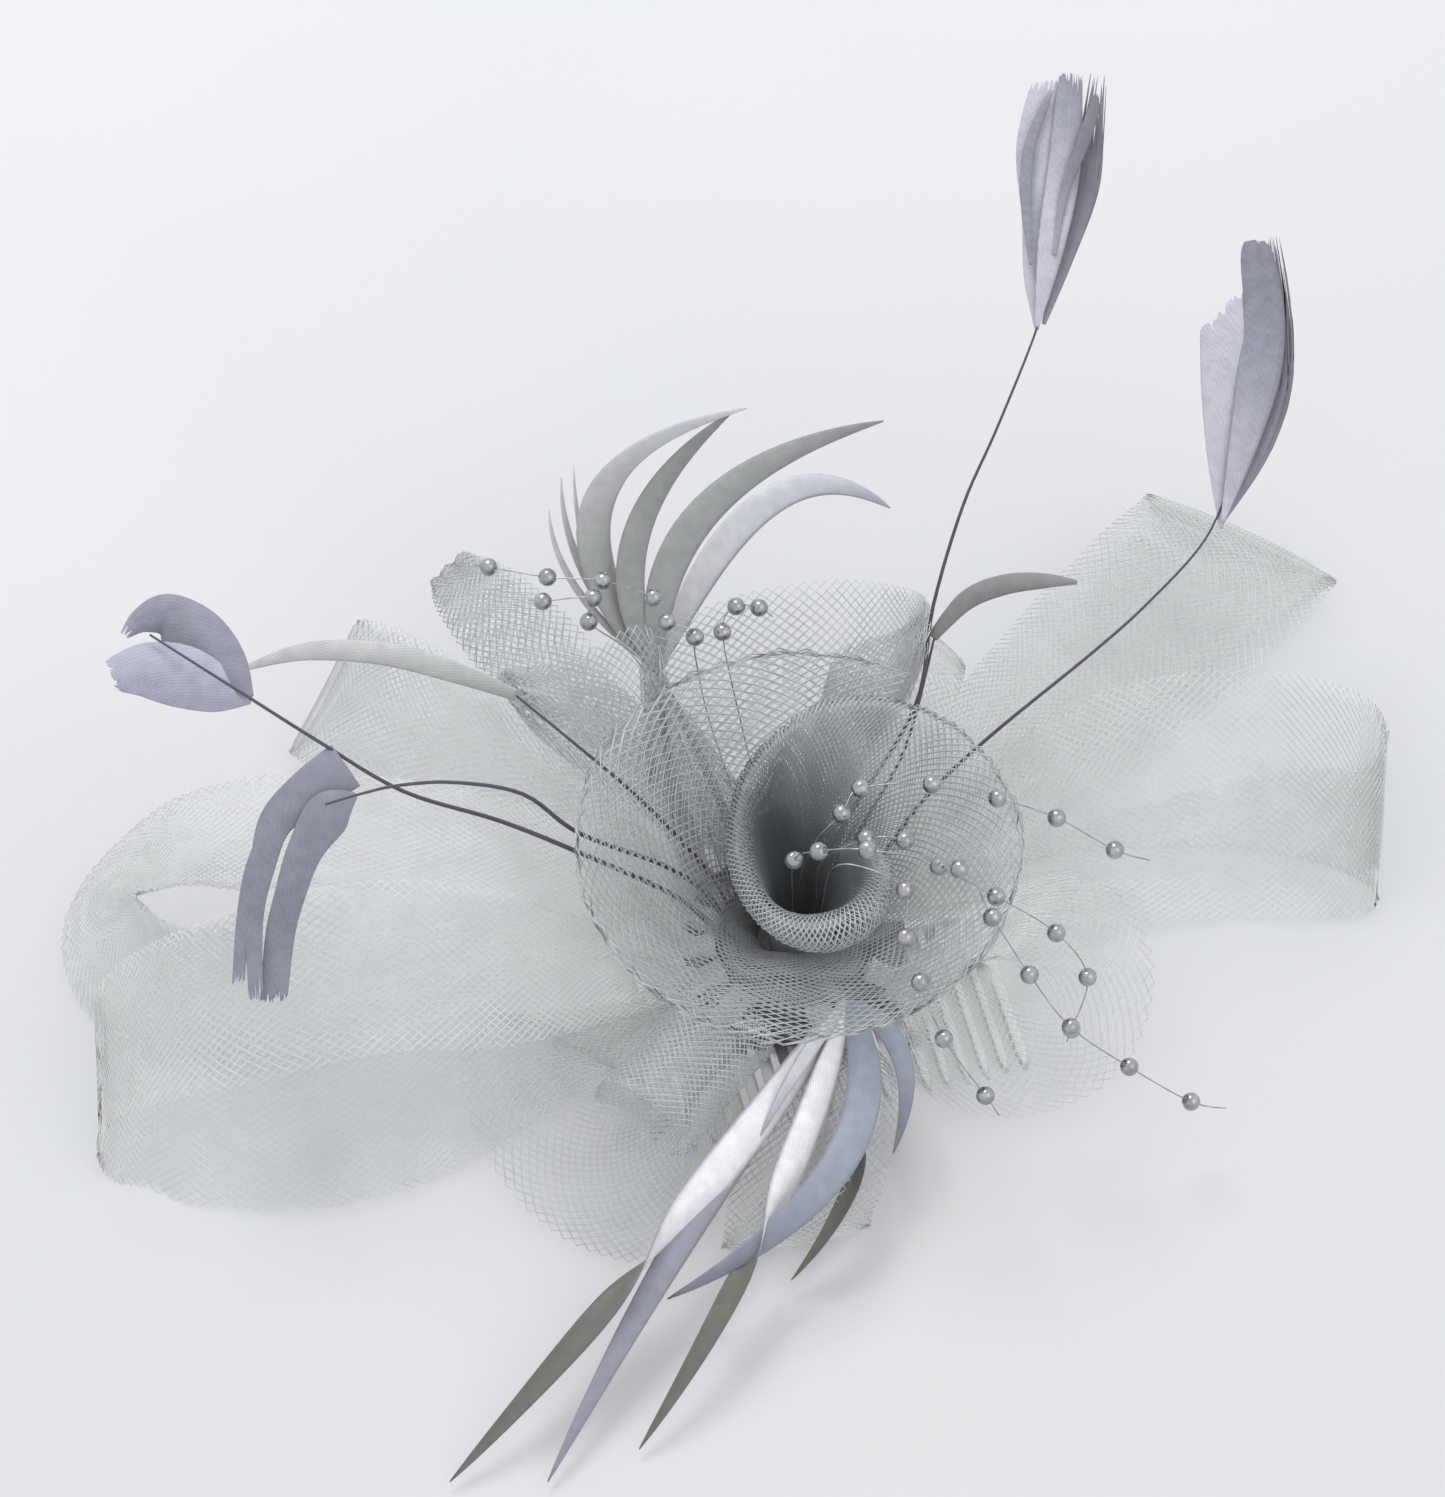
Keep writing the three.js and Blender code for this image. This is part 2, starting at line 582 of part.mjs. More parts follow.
const radians = (degrees) => (degrees * Math.PI) / 180;

// Unit vector with a heading in plan and a slope above the horizontal, both in degrees.
function direction(turn, tilt) {
  const flat = Math.cos(radians(tilt));
  return new THREE.Vector3(
    flat * Math.cos(radians(turn)),
    flat * Math.sin(radians(turn)),
    Math.sin(radians(tilt)),
  );
}

// Closed solid round a grid of points: a wall of the given thickness, half to each side of the grid.
function wallSolid(grid, thickness) {
  const across = grid[0].length;
  const along = grid.length;
  const side = (i, j) => {
    const ahead = grid[Math.min(i + 1, along - 1)][j].clone().sub(grid[Math.max(i - 1, 0)][j]);
    const over = grid[i][Math.min(j + 1, across - 1)].clone().sub(grid[i][Math.max(j - 1, 0)]);
    return ahead.cross(over).normalize().multiplyScalar(thickness(i, j) / 2);
  };
  const position = [];
  for (const sign of [1, -1]) {
    grid.forEach((line, i) =>
      line.forEach((point, j) => position.push(...point.clone().addScaledVector(side(i, j), sign))),
    );
  }
  const top = (i, j) => i * across + j;
  const under = (i, j) => (along + i) * across + j;
  const index = [];
  const quad = (a, b, c, d) => index.push(a, b, c, a, c, d);
  for (let i = 0; i < along - 1; i++) {
    for (let j = 0; j < across - 1; j++) {
      quad(top(i, j), top(i + 1, j), top(i + 1, j + 1), top(i, j + 1));
      quad(under(i, j), under(i, j + 1), under(i + 1, j + 1), under(i + 1, j));
    }
    quad(top(i + 1, 0), top(i, 0), under(i, 0), under(i + 1, 0));
    quad(top(i, across - 1), top(i + 1, across - 1), under(i + 1, across - 1), under(i, across - 1));
  }
  for (let j = 0; j < across - 1; j++) {
    quad(top(0, j), top(0, j + 1), under(0, j + 1), under(0, j));
    quad(top(along - 1, j + 1), top(along - 1, j), under(along - 1, j), under(along - 1, j + 1));
  }
  const geometry = new THREE.BufferGeometry();
  geometry.setAttribute("position", new THREE.Float32BufferAttribute(position, 3));
  geometry.setIndex(index);
  return geometry;
}

// Tube of a few sides along a smooth curve through the points.
function tube(points, radius, { sides, steps }) {
  const outline = new THREE.Shape();
  for (let k = 0; k < sides; k++) {
    const angle = radians((360 * k) / sides);
    const corner = [radius * Math.cos(angle), radius * Math.sin(angle)];
    if (k === 0) outline.moveTo(...corner);
    else outline.lineTo(...corner);
  }
  outline.closePath();
  const path = new THREE.CatmullRomCurve3(points.map((p) => new THREE.Vector3(...p)));
  return new THREE.ExtrudeGeometry(outline, { steps, extrudePath: path, bevelEnabled: false });
}

function toManifold(geometry) {
  const bare = geometry.clone();
  bare.deleteAttribute("normal");
  bare.deleteAttribute("uv");
  const merged = mergeVertices(bare, 1e-4);
  return new wasm.Manifold(
    new wasm.Mesh({
      numProp: 3,
      vertProperties: new Float32Array(merged.attributes.position.array),
      triVerts: new Uint32Array(merged.index.array),
    }),
  );
}

// One body from several closed geometries that reach into each other.
function fuse(geometries) {
  const joined = geometries.map(toManifold).reduce((sum, next) => sum.add(next));
  const mesh = joined.getMesh();
  const geometry = new THREE.BufferGeometry();
  geometry.setAttribute("position", new THREE.Float32BufferAttribute(mesh.vertProperties, 3));
  geometry.setIndex([...mesh.triVerts]);
  return geometry;
}

const MATERIALS = {
  net: new THREE.MeshStandardMaterial({ color: "#c9cccc", roughness: 0.35, side: THREE.DoubleSide }),
  felt: new THREE.MeshStandardMaterial({ color: "#b9bcbe", roughness: 0.95 }),
  clear: new THREE.MeshStandardMaterial({ color: "#e4e8e8", roughness: 0.15 }),
  biot: new THREE.MeshStandardMaterial({ color: "#a9adb3", roughness: 0.6 }),
  vane: new THREE.MeshStandardMaterial({ color: "#b5b3c1", roughness: 0.7 }),
  pearl: new THREE.MeshStandardMaterial({ color: "#a6a8a8", roughness: 0.25, metalness: 0.5 }),
};

const fascinator = new THREE.Group();

function addPiece(name, geometry, material) {
  geometry.computeVertexNormals();
  const piece = new THREE.Mesh(geometry, material);
  piece.name = name;
  fascinator.add(piece);
  return piece;
}

// The comb lies flat on its teeth and its spine runs under the disc.
function combGeometry() {
  const half = COMB.width / 2;
  const spine = new THREE.BoxGeometry(COMB.width, COMB.spineDepth, COMB.spineThick);
  spine.translate(0, 0, COMB.spineThick / 2);
  const pieces = [spine];
  const count = Math.floor((COMB.width - COMB.toothWidth) / COMB.toothPitch) + 1;
  const first = (-(count - 1) * COMB.toothPitch) / 2;
  const root = COMB.spineDepth / 4;
  const end = -COMB.spineDepth / 2 - COMB.toothLength;
  for (let k = 0; k < count; k++) {
    const outer = k === 0 || k === count - 1;
    const wide = outer ? COMB.outerToothWidth : COMB.toothWidth;
    const middle = Math.max(Math.min(first + k * COMB.toothPitch, half - wide / 2), wide / 2 - half);
    const outline = new THREE.Shape();
    outline.moveTo(middle - wide / 2, -root);
    outline.lineTo(middle - wide / 2, end + COMB.tipLength);
    outline.lineTo(middle - wide / 6, end);
    outline.lineTo(middle + wide / 6, end);
    outline.lineTo(middle + wide / 2, end + COMB.tipLength);
    outline.lineTo(middle + wide / 2, -root);
    outline.closePath();
    pieces.push(new THREE.ExtrudeGeometry(outline, { depth: COMB.toothThick, bevelEnabled: false }));
  }
  return fuse(pieces);
}

function discGeometry() {
  const disc = new THREE.CylinderGeometry(DISC.radius, DISC.radius, DISC.thick, DISC.sides);
  disc.rotateX(Math.PI / 2);
  disc.translate(0, 0, DISC_BASE + DISC.thick / 2);
  return disc;
}

// The two rows of a loop's root tab, level on the disc; layer 0 is the lower end and 1 the upper.
function tabRows(root, layer, turn) {
  const up = DISC_TOP + GAP + NET.wall / 2 + layer * (NET.wall + GAP);
  return [ROOT.ring - ROOT.tab, ROOT.ring + ROOT.tab].map((ring) => {
    const at = direction(root, 0).multiplyScalar(ring);
    return [at.x, at.y, up, ROOT.width, turn, 0];
  });
}

// The width of a root tab runs across its radius, on whichever side is nearer the band's own turn.
function tabTurn(root, near) {
  const options = [-270, -90, 90, 270].map((quarter) => root + quarter);
  return options.reduce((best, next) => (Math.abs(next - near) < Math.abs(best - near) ? next : best));
}

function bandRows(loop) {
  return loop.rows.map((row) => [
    row.right * loop.reach * SPRAY.reach,
    row.back * loop.reach * SPRAY.reach,
    row.up * loop.rise * SPRAY.rise,
    row.wide * NET.bandWidth,
    row.turn,
    row.tilt,
  ]);
}

function loopRows(loop) {
  const band = bandRows(loop);
  const upper = tabRows(loop.root, 1, tabTurn(loop.root, band[0][4]));
  const lower = tabRows(loop.root, 0, tabTurn(loop.root, band[band.length - 1][4])).reverse();
  return [...upper, ...band, ...lower];
}

// Band swept through rows of centre, width, turn and tilt, slightly crowned across.
function bandGeometry(rows, stations) {
  const centres = [];
  const spreads = [];
  for (let i = 0; i <= stations; i++) {
    const [x, y, z, width, turn, tilt] = throughRows(rows, i / stations);
    const tab = rows[i < stations / 2 ? 0 : rows.length - 1][2];
    const onDisc = Math.hypot(x, y) < DISC.radius + NET.wall;
    centres.push(new THREE.Vector3(x, y, onDisc ? Math.max(z, tab) : z));
    spreads.push(direction(turn, tilt).multiplyScalar(width / 2));
  }
  const grid = centres.map((centre, i) => {
    const ahead = centres[Math.min(i + 1, stations)].clone().sub(centres[Math.max(i - 1, 0)]);
    const lift = ahead.cross(spreads[i]).normalize();
    lift.multiplyScalar((NET.crown * 2 * spreads[i].length()) / NET.bandWidth);
    return [-1, 0, 1].map((t) =>
      centre.clone().addScaledVector(spreads[i], t).addScaledVector(lift, 1 - t * t),
    );
  });
  return wallSolid(grid, () => NET.wall);
}

function flowerGeometry() {
  const rows = FLOWER.rows.map((row) => [row.at, row.rim, row.foot, row.up, row.shift]);
  const base = DISC_TOP + GAP;
  const grid = [];
  for (let i = 0; i <= FLOWER.stations; i++) {
    const [at, rim, foot, up, shift] = throughRows(rows, i / FLOWER.stations);
    const out = direction(FLOWER.start + at, 0);
    const outer = rim * FLOWER.rimRadius;
    const inner = foot * FLOWER.footRadius;
    const point = (s, radius, z) => {
      const moved = shift * (FLOWER.footShift + (1 - FLOWER.footShift) * s);
      return new THREE.Vector3(FLOWER.rollRight * moved, FLOWER.rollBack * moved, 0)
        .addScaledVector(out, radius)
        .setZ(z);
    };
    const line = FLOWER_PROFILE.map((s) =>
      point(s, inner + (outer - inner) * s ** FLOWER.flare, base + FLOWER.height * up * s),
    );
    line.push(point(1, outer + FLOWER.lip, base + FLOWER.height * up - FLOWER.lipDrop));
    grid.push(line);
  }
  return wallSolid(grid, () => NET.wall);
}

// The upright foot of a feather on the disc.
function stub(root) {
  const at = direction(root, 0).multiplyScalar(STUB_RING);
  return [0, STUB_RISE].map((rise) => [at.x, at.y, DISC_TOP + GAP + rise]);
}

function placed([right, back, up], { reach, rise }) {
  const out = reach * PLUMES.reach;
  return [right * out, back * out, up * rise * PLUMES.rise];
}

const bladeSolid = (grid) => wallSolid(grid, (i, j) => BLADE.thick * (j === 1 ? 1 : BLADE.edge));

// A biot: a narrow blade along a bent line, thin at its edges, that ends in a point.
function biotGeometry(biot, fan) {
  const bound = fan.route[fan.route.length - 1];
  const [start, bend, tip] = [bound, biot.bend, biot.tip].map((p) => new THREE.Vector3(...placed(p, fan)));
  const curve = new THREE.QuadraticBezierCurve3(start, bend, tip);
  const grid = [];
  for (let i = 0; i <= BLADE.stations; i++) {
    const u = i / BLADE.stations;
    const swell = Math.max(BIOT.root * (1 - u), Math.sin(Math.PI * u ** BIOT.belly), BIOT.tip);
    const half = (swell * biot.wide * BIOT.width) / 2;
    const tangent = curve.getTangent(u);
    const over = tangent.clone().cross(FACE).normalize().applyAxisAngle(tangent, radians(biot.lean));
    const centre = curve.getPoint(u);
    grid.push([-1, 0, 1].map((t) => centre.clone().addScaledVector(over, t * half)));
  }
  return bladeSolid(grid);
}

function fanGeometry(fan) {
  const route = [...stub(fan.root), ...fan.route.map((p) => placed(p, fan))];
  const bundle = tube(route, fan.bundle, BUNDLE_TUBE);
  return fuse([bundle, ...fan.biots.map((biot) => biotGeometry(biot, fan))]);
}

function featherGeometry(feather) {
  const held = feather.blade[1];
  const points = [...feather.route, [held.right, held.back, held.up]];
  const route = [...stub(feather.root), ...points.map((p) => placed(p, feather))];
  const stem = tube(route, feather.stem / 2, STEM_TUBE);
  const rows = feather.blade.map((row) => [
    ...placed([row.right, row.back, row.up], feather),
    row.wide * feather.width,
    row.turn,
    row.tilt,
  ]);
  const grid = [];
  for (let i = 0; i <= BLADE.stations; i++) {
    const [x, y, z, width, turn, tilt] = throughRows(rows, i / BLADE.stations);
    const half = direction(turn, tilt).multiplyScalar(width / 2);
    grid.push([-1, 0, 1].map((t) => new THREE.Vector3(x, y, z).addScaledVector(half, t)));
  }
  return fuse([stem, bladeSolid(grid)]);
}

function stringGeometry(string) {
  const route = [[...string.foot, DISC_TOP + GAP], ...string.route];
  const steps = THREAD.stepsPerSpan * string.route.length;
  const pieces = [tube(route, THREAD.width / 2, { sides: THREAD.sides, steps })];
  for (const at of string.route.slice(string.first, string.last + 1)) {
    const bead = new THREE.SphereGeometry(BEAD.radius, BEAD.sides, BEAD.rings);
    pieces.push(bead.translate(...at));
  }
  return fuse(pieces);
}

const comb = addPiece("comb", combGeometry(), MATERIALS.clear);
comb.position.set(COMB.right, COMB.back, 0);
comb.rotation.z = radians(COMB.turn);
addPiece("base_disc", discGeometry(), MATERIALS.felt);
addPiece("flower", flowerGeometry(), MATERIALS.net);
for (const loop of LOOPS) addPiece(loop.name, bandGeometry(loopRows(loop), NET.stations), MATERIALS.net);
addPiece(CURL.name, bandGeometry(bandRows(CURL), NET.stations), MATERIALS.net);
for (const fan of FANS) addPiece(fan.name, fanGeometry(fan), MATERIALS.biot);
for (const feather of FEATHERS) addPiece(feather.name, featherGeometry(feather), MATERIALS.vane);
for (const string of STRINGS) addPiece(string.name, stringGeometry(string), MATERIALS.pearl);

export default fascinator;
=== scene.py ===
"""A fascinator of crinoline net on a clear comb: rolled flower, loops, biots, quills and pearl strings."""

import logging
import math
import random
from collections.abc import Callable
from dataclasses import dataclass
from enum import Enum

import bpy
import numpy as np
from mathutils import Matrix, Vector


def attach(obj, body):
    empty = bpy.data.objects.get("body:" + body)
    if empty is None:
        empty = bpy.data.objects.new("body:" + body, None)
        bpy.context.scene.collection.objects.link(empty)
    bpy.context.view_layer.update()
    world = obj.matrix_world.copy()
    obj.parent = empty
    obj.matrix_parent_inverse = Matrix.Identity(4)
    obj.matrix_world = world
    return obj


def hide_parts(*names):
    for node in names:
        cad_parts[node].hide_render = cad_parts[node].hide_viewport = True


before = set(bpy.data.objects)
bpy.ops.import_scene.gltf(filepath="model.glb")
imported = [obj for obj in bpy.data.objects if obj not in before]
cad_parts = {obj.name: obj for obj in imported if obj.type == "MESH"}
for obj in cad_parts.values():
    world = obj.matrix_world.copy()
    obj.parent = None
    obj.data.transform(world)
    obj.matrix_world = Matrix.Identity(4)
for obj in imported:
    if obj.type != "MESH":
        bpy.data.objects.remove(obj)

log = logging.getLogger("fascinator")

MM = 0.001
BODY = "root"
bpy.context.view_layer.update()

# The gap between solids in millimetres, and the way from the piece to the camera, 58 degrees up.
GAP = 0.3
TO_CAMERA = (0, -math.cos(math.radians(58)), math.sin(math.radians(58)))


# Small helpers


def linear(colour: str) -> tuple[float, float, float, float]:
    """Turn an sRGB hex colour into a linear one.

    Args:
        colour: the colour as "#rrggbb".

    Returns:
        Red, green, blue and an alpha of 1, linear.
    """
    parts = [int(colour[i : i + 2], 16) / 255 for i in (1, 3, 5)]
    curve = [c / 12.92 if c <= 0.04045 else ((c + 0.055) / 1.055) ** 2.4 for c in parts]
    return (*curve, 1.0)


def through(rows: np.ndarray, u: np.ndarray) -> np.ndarray:
    """Follow a smooth curve through rows of numbers.

    Args:
        rows: one row of values for each point.
        u: places along the curve, 0 at the first row and 1 at the last.

    Returns:
        One row of values for each place.
    """
    spans = len(rows) - 1
    place = np.clip(np.asarray(u, float) * spans, 0, spans - 1e-9)
    at = place.astype(int)
    t = (place - at)[:, None]
    a, b, c, d = (rows[np.clip(at + k, 0, spans)] for k in (-1, 0, 1, 2))
    return b + 0.5 * t * (c - a + t * (2 * a - 5 * b + 4 * c - d + t * (3 * (b - c) + d - a)))


def heading(turn: np.ndarray, tilt: np.ndarray) -> np.ndarray:
    """Give unit vectors with a heading in plan and a slope above the horizontal.

    Args:
        turn: headings in degrees.
        tilt: slopes in degrees.

    Returns:
        One vector for each pair.
    """
    turn, tilt = np.radians(turn), np.radians(tilt)
    flat = np.cos(tilt)
    return np.stack([flat * np.cos(turn), flat * np.sin(turn), np.sin(tilt)], axis=-1)


def unit(vectors: np.ndarray) -> np.ndarray:
    """Scale vectors to a length of 1."""
    return vectors / np.maximum(np.linalg.norm(vectors, axis=-1, keepdims=True), 1e-9)


def distances(line: np.ndarray) -> np.ndarray:
    """Give the distance along a line at each of its points."""
    return np.concatenate([[0], np.cumsum(np.linalg.norm(np.diff(line, axis=0), axis=1))])


def put(name: str, data: bpy.types.ID) -> bpy.types.Object:
    """Make an object and link it to the scene.

    Args:
        name: its name.
        data: its mesh, curve, light or camera.

    Returns:
        The object.
    """
    piece = bpy.data.objects.new(name, data)
    bpy.context.collection.objects.link(piece)
    return piece


def aim(piece: bpy.types.Object, ahead: Vector, axis: str) -> None:
    """Turn an object so that one of its axes points ahead."""
    piece.rotation_mode = "QUATERNION"
    piece.rotation_quaternion = ahead.to_track_quat(axis, "Y")


def deselect() -> None:
    """Return to object mode and leave nothing selected."""
    if bpy.context.object and bpy.context.object.mode != "OBJECT":
        bpy.ops.object.mode_set(mode="OBJECT")
    bpy.ops.object.select_all(action="DESELECT")


def pick(piece: bpy.types.Object) -> None:
    """Select one object alone and make it active.

    Args:
        piece: the object.
    """
    deselect()
    piece.select_set(True)
    bpy.context.view_layer.objects.active = piece


def settle(piece: bpy.types.Object) -> None:
    """Put an object's place, turn and scale into its mesh."""
    pick(piece)
    bpy.ops.object.transform_apply(location=True, rotation=True, scale=True)


def choose_faces(piece: bpy.types.Object, wanted: Callable[[bpy.types.MeshPolygon], bool]) -> None:
    """Enter edit mode with some faces selected.

    Args:
        piece: the mesh object.
        wanted: a test of one face.
    """
    pick(piece)
    bpy.ops.object.mode_set(mode="EDIT")
    bpy.ops.mesh.select_mode(type="FACE")
    bpy.ops.mesh.select_all(action="DESELECT")
    bpy.ops.object.mode_set(mode="OBJECT")
    for face in piece.data.polygons:
        face.select = wanted(face)
    bpy.ops.object.mode_set(mode="EDIT")


def join(pieces: list[bpy.types.Object], name: str) -> bpy.types.Object:
    """Join mesh objects into one.

    Args:
        pieces: the objects.
        name: the name of the joined object.

    Returns:
        The joined object.
    """
    deselect()
    for piece in pieces:
        piece.select_set(True)
    bpy.context.view_layer.objects.active = pieces[0]
    bpy.ops.object.join()
    pieces[0].name = name
    pieces[0].data.name = name
    return pieces[0]


def apply_modifiers(piece: bpy.types.Object) -> None:
    """Apply every modifier of an object in order.

    Args:
        piece: the object.
    """
    pick(piece)
    for modifier in list(piece.modifiers):
        bpy.ops.object.modifier_apply(modifier=modifier.name)


def round_edges(piece: bpy.types.Object, width: float, segments: int) -> None:
    """Round an object's sharp edges.

    Args:
        piece: the object.
        width: how far the rounding reaches, in millimetres.
        segments: its number of steps.
    """
    bevel = piece.modifiers.new("round", "BEVEL")
    bevel.width, bevel.segments, bevel.limit_method = width * MM, segments, "ANGLE"
    apply_modifiers(piece)


def sweep(name: str, points: np.ndarray, radii: np.ndarray, sides: int) -> bpy.types.Object:
    """Make a round, tapered rod along points, as a mesh.

    Args:
        name: the object's name.
        points: places in millimetres.
        radii: the rod's radius at each place, in millimetres.
        sides: an even number of sides.

    Returns:
        The mesh object.
    """
    curve = bpy.data.curves.new(name, "CURVE")
    curve.dimensions = "3D"
    curve.bevel_depth = MM
    curve.bevel_resolution = max(sides // 2 - 2, 0)
    curve.use_fill_caps = True
    spline = curve.splines.new("POLY")
    spline.points.add(len(points) - 1)
    for point, place, radius in zip(spline.points, points, radii):
        point.co = (*(place * MM), 1)
        point.radius = radius
    pick(put(name, curve))
    bpy.ops.object.convert(target="MESH")
    rod = bpy.context.object
    bpy.ops.object.shade_smooth()
    return rod


def dress(piece: bpy.types.Object, material: bpy.types.Material, slot: str, *nodes: str) -> None:
    """Give a finished piece its material and its body, hide the CAD nodes that it stands for and log them.

    Args:
        piece: the piece.
        material: its material.
        slot: not used.
        nodes: the CAD nodes.
    """
    piece.data.materials.clear()
    piece.data.materials.append(material)
    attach(piece, BODY)
    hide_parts(*nodes)
    log.info("%s: %d faces, stands for %s", piece.name, len(piece.data.polygons), ", ".join(nodes))


class Recipe:
    """A material in the making: one Principled shader, and Object coordinates in millimetres."""

    def __init__(self, name: str, settings: dict) -> None:
        """Start the material.

        Args:
            name: its name.
            settings: values of the shader's own sockets.
        """
        self.material = bpy.data.materials.new(name)
        self.material.use_nodes = True
        self.tree = self.material.node_tree
        self.shader = self.tree.nodes["Principled BSDF"]
        for key, value in settings.items():
            self.shader.inputs[key].default_value = value
        place = self.add("ShaderNodeTexCoord").outputs["Object"]
        scaled = self.add("ShaderNodeMapping", {"Scale": (1 / MM,) * 3}, {"Vector": place})
        self.place = scaled.outputs[0]

    def add(self, kind: str, settings: dict | None = None, links: dict | None = None) -> bpy.types.Node:
        """Add one shader node.

        Args:
            kind: the node's type name.
            settings: values of its properties, or of its inputs by name or number.
            links: output sockets to join to its inputs, by input name or number.

        Returns:
            The node.
        """
        node = self.tree.nodes.new(kind)
        for key, value in (settings or {}).items():
            if isinstance(key, str) and key.islower():
                setattr(node, key, value)
            else:
                node.inputs[key].default_value = value
        for key, socket in (links or {}).items():
            self.tree.links.new(socket, node.inputs[key])
        return node

    def noise(self, size: float, detail: float) -> bpy.types.NodeSocket:
        """Give a noise with grains of a size in millimetres."""
        settings = {"Scale": 1 / size, "Detail": detail}
        return self.add("ShaderNodeTexNoise", settings, {"Vector": self.place}).outputs[0]

    def ramp(
        self, fac: bpy.types.NodeSocket, low: str, high: str, start: float = 0.3, end: float = 0.7
    ) -> bpy.types.NodeSocket:
        """Run from one colour to another.

        Args:
            fac: the socket that drives the ramp.
            low: the first colour.
            high: the last colour.
            start: where the ramp begins.
            end: where it ends.

        Returns:
            The colour.
        """
        node = self.add("ShaderNodeValToRGB", links={0: fac})
        first, last = node.color_ramp.elements
        first.position, last.position = start, end
        first.color, last.color = linear(low), linear(high)
        return node.outputs[0]

    def multiply(self, first: bpy.types.NodeSocket, second: bpy.types.NodeSocket) -> bpy.types.NodeSocket:
        """Give the product of two colours."""
        settings = {"data_type": "RGBA", "blend_type": "MULTIPLY", "Factor": 1.0}
        return self.add("ShaderNodeMix", settings, {6: first, 7: second}).outputs[2]

    def colour(self, socket: bpy.types.NodeSocket) -> None:
        """Use a socket as the base colour."""
        self.tree.links.new(socket, self.shader.inputs["Base Color"])

    def bump(self, height: bpy.types.NodeSocket, strength: float, distance: float) -> None:
        """Raise the surface.

        Args:
            height: the socket that drives it.
            strength: how strongly, up to 1.
            distance: how high, in millimetres.
        """
        settings = {"Strength": strength, "Distance": distance * MM}
        bump = self.add("ShaderNodeBump", settings, {"Height": height})
        self.tree.links.new(bump.outputs[0], self.shader.inputs["Normal"])


# Finishes


@dataclass(frozen=True)
class NylonNet:
    """Crinoline net of nylon monofilament: fine, hard and bright, with glints along each thread."""

    light: str = "#eaecec"
    dark: str = "#dcdfdf"
    # Colour of the painted shade round the middle, where the flower is deepest; None leaves it out.
    throat_shade: str | None = None
    middle: tuple[float, float] = (0.0, 1.0)
    inner: float = 7.0
    outer: float = 28.0
    roughness: float = 0.22
    patch: float = 9.0

    def material(self) -> bpy.types.Material:
        """Build the material: the tone drifts from thread to thread over a few millimetres.

        Where a painted shade colour is given, it darkens the threads round the middle, out to the outer
        radius, for the shade deep in the flower.

        Returns:
            The material.
        """
        settings = {"Roughness": self.roughness, "IOR": 1.53, "Specular IOR Level": 0.7}
        made = Recipe("crinoline_nylon_monofilament", settings)
        colour = made.ramp(made.noise(self.patch, 4.0), self.dark, self.light)
        # Painted shade: the threads darken towards the middle, standing for the shade deep in the flower.
        if self.throat_shade:
            flat = {"Location": (-self.middle[0], -self.middle[1], 0), "Scale": (1, 1, 0)}
            away = made.add("ShaderNodeMapping", flat, {"Vector": made.place}).outputs[0]
            distance = made.add("ShaderNodeVectorMath", {"operation": "LENGTH"}, {0: away}).outputs["Value"]
            span = {"From Min": self.inner, "From Max": self.outer}
            share = made.add("ShaderNodeMapRange", span, {"Value": distance}).outputs[0]
            painted_shade = {"data_type": "RGBA", 6: linear(self.throat_shade)}
            colour = made.add("ShaderNodeMix", painted_shade, {0: share, 7: colour}).outputs[2]
        made.colour(colour)
        return made.material


@dataclass(frozen=True)
class WoolFelt:
    """Pressed wool felt: matt, with a short matted nap. Its dark grey is partly the felt's own colour and
    partly painted shade, for the shade under the flower seen through the net.
    """

    # Partly painted shade: these greys are darkened for the shade under the flower seen through the net.
    light: str = "#54575a"
    dark: str = "#3b3e41"
    fibre: float = 0.9

    def material(self) -> bpy.types.Material:
        """Build the material: fibres show as a fine mottle and a soft bump.

        Returns:
            The material.
        """
        settings = {"Roughness": 0.95, "Sheen Weight": 0.4, "Specular IOR Level": 0.2}
        made = Recipe("pressed_wool_felt", settings)
        nap = made.noise(self.fibre, 6.0)
        made.colour(made.ramp(nap, self.dark, self.light))
        made.bump(nap, 0.5, 0.3)
        return made.material


@dataclass(frozen=True)
class ClearAcetate:
    """Moulded clear plastic: light goes through it and runs bright along its edges."""

    tint: str = "#f6f8f8"
    flow: float = 6.0

    def material(self) -> bpy.types.Material:
        """Build the material: faint flow marks from the mould ripple the surface.

        Returns:
            The material.
        """
        settings = {
            "Base Color": linear(self.tint),
            "Roughness": 0.12,
            "IOR": 1.47,
            "Transmission Weight": 0.2,
        }
        made = Recipe("moulded_clear_acetate", settings)
        made.bump(made.noise(self.flow, 2.0), 0.15, 0.2)
        return made.material


@dataclass(frozen=True)
class PearlCoat:
    """Pearl lacquer over a moulded bead: soft inner shine under a clear hard coat."""

    light: str = "#b6b8b9"
    dark: str = "#8a8d8f"
    cloud: float = 2.2

    def material(self) -> bpy.types.Material:
        """Build the material: pearl dust clouds the tone over a millimetre or two.

        Returns:
            The material.
        """
        settings = {"Metallic": 0.85, "Roughness": 0.17, "Coat Weight": 0.5, "Coat Roughness": 0.06}
        made = Recipe("pearl_lacquer", settings)
        made.colour(made.ramp(made.noise(self.cloud, 3.0), self.dark, self.light))
        return made.material


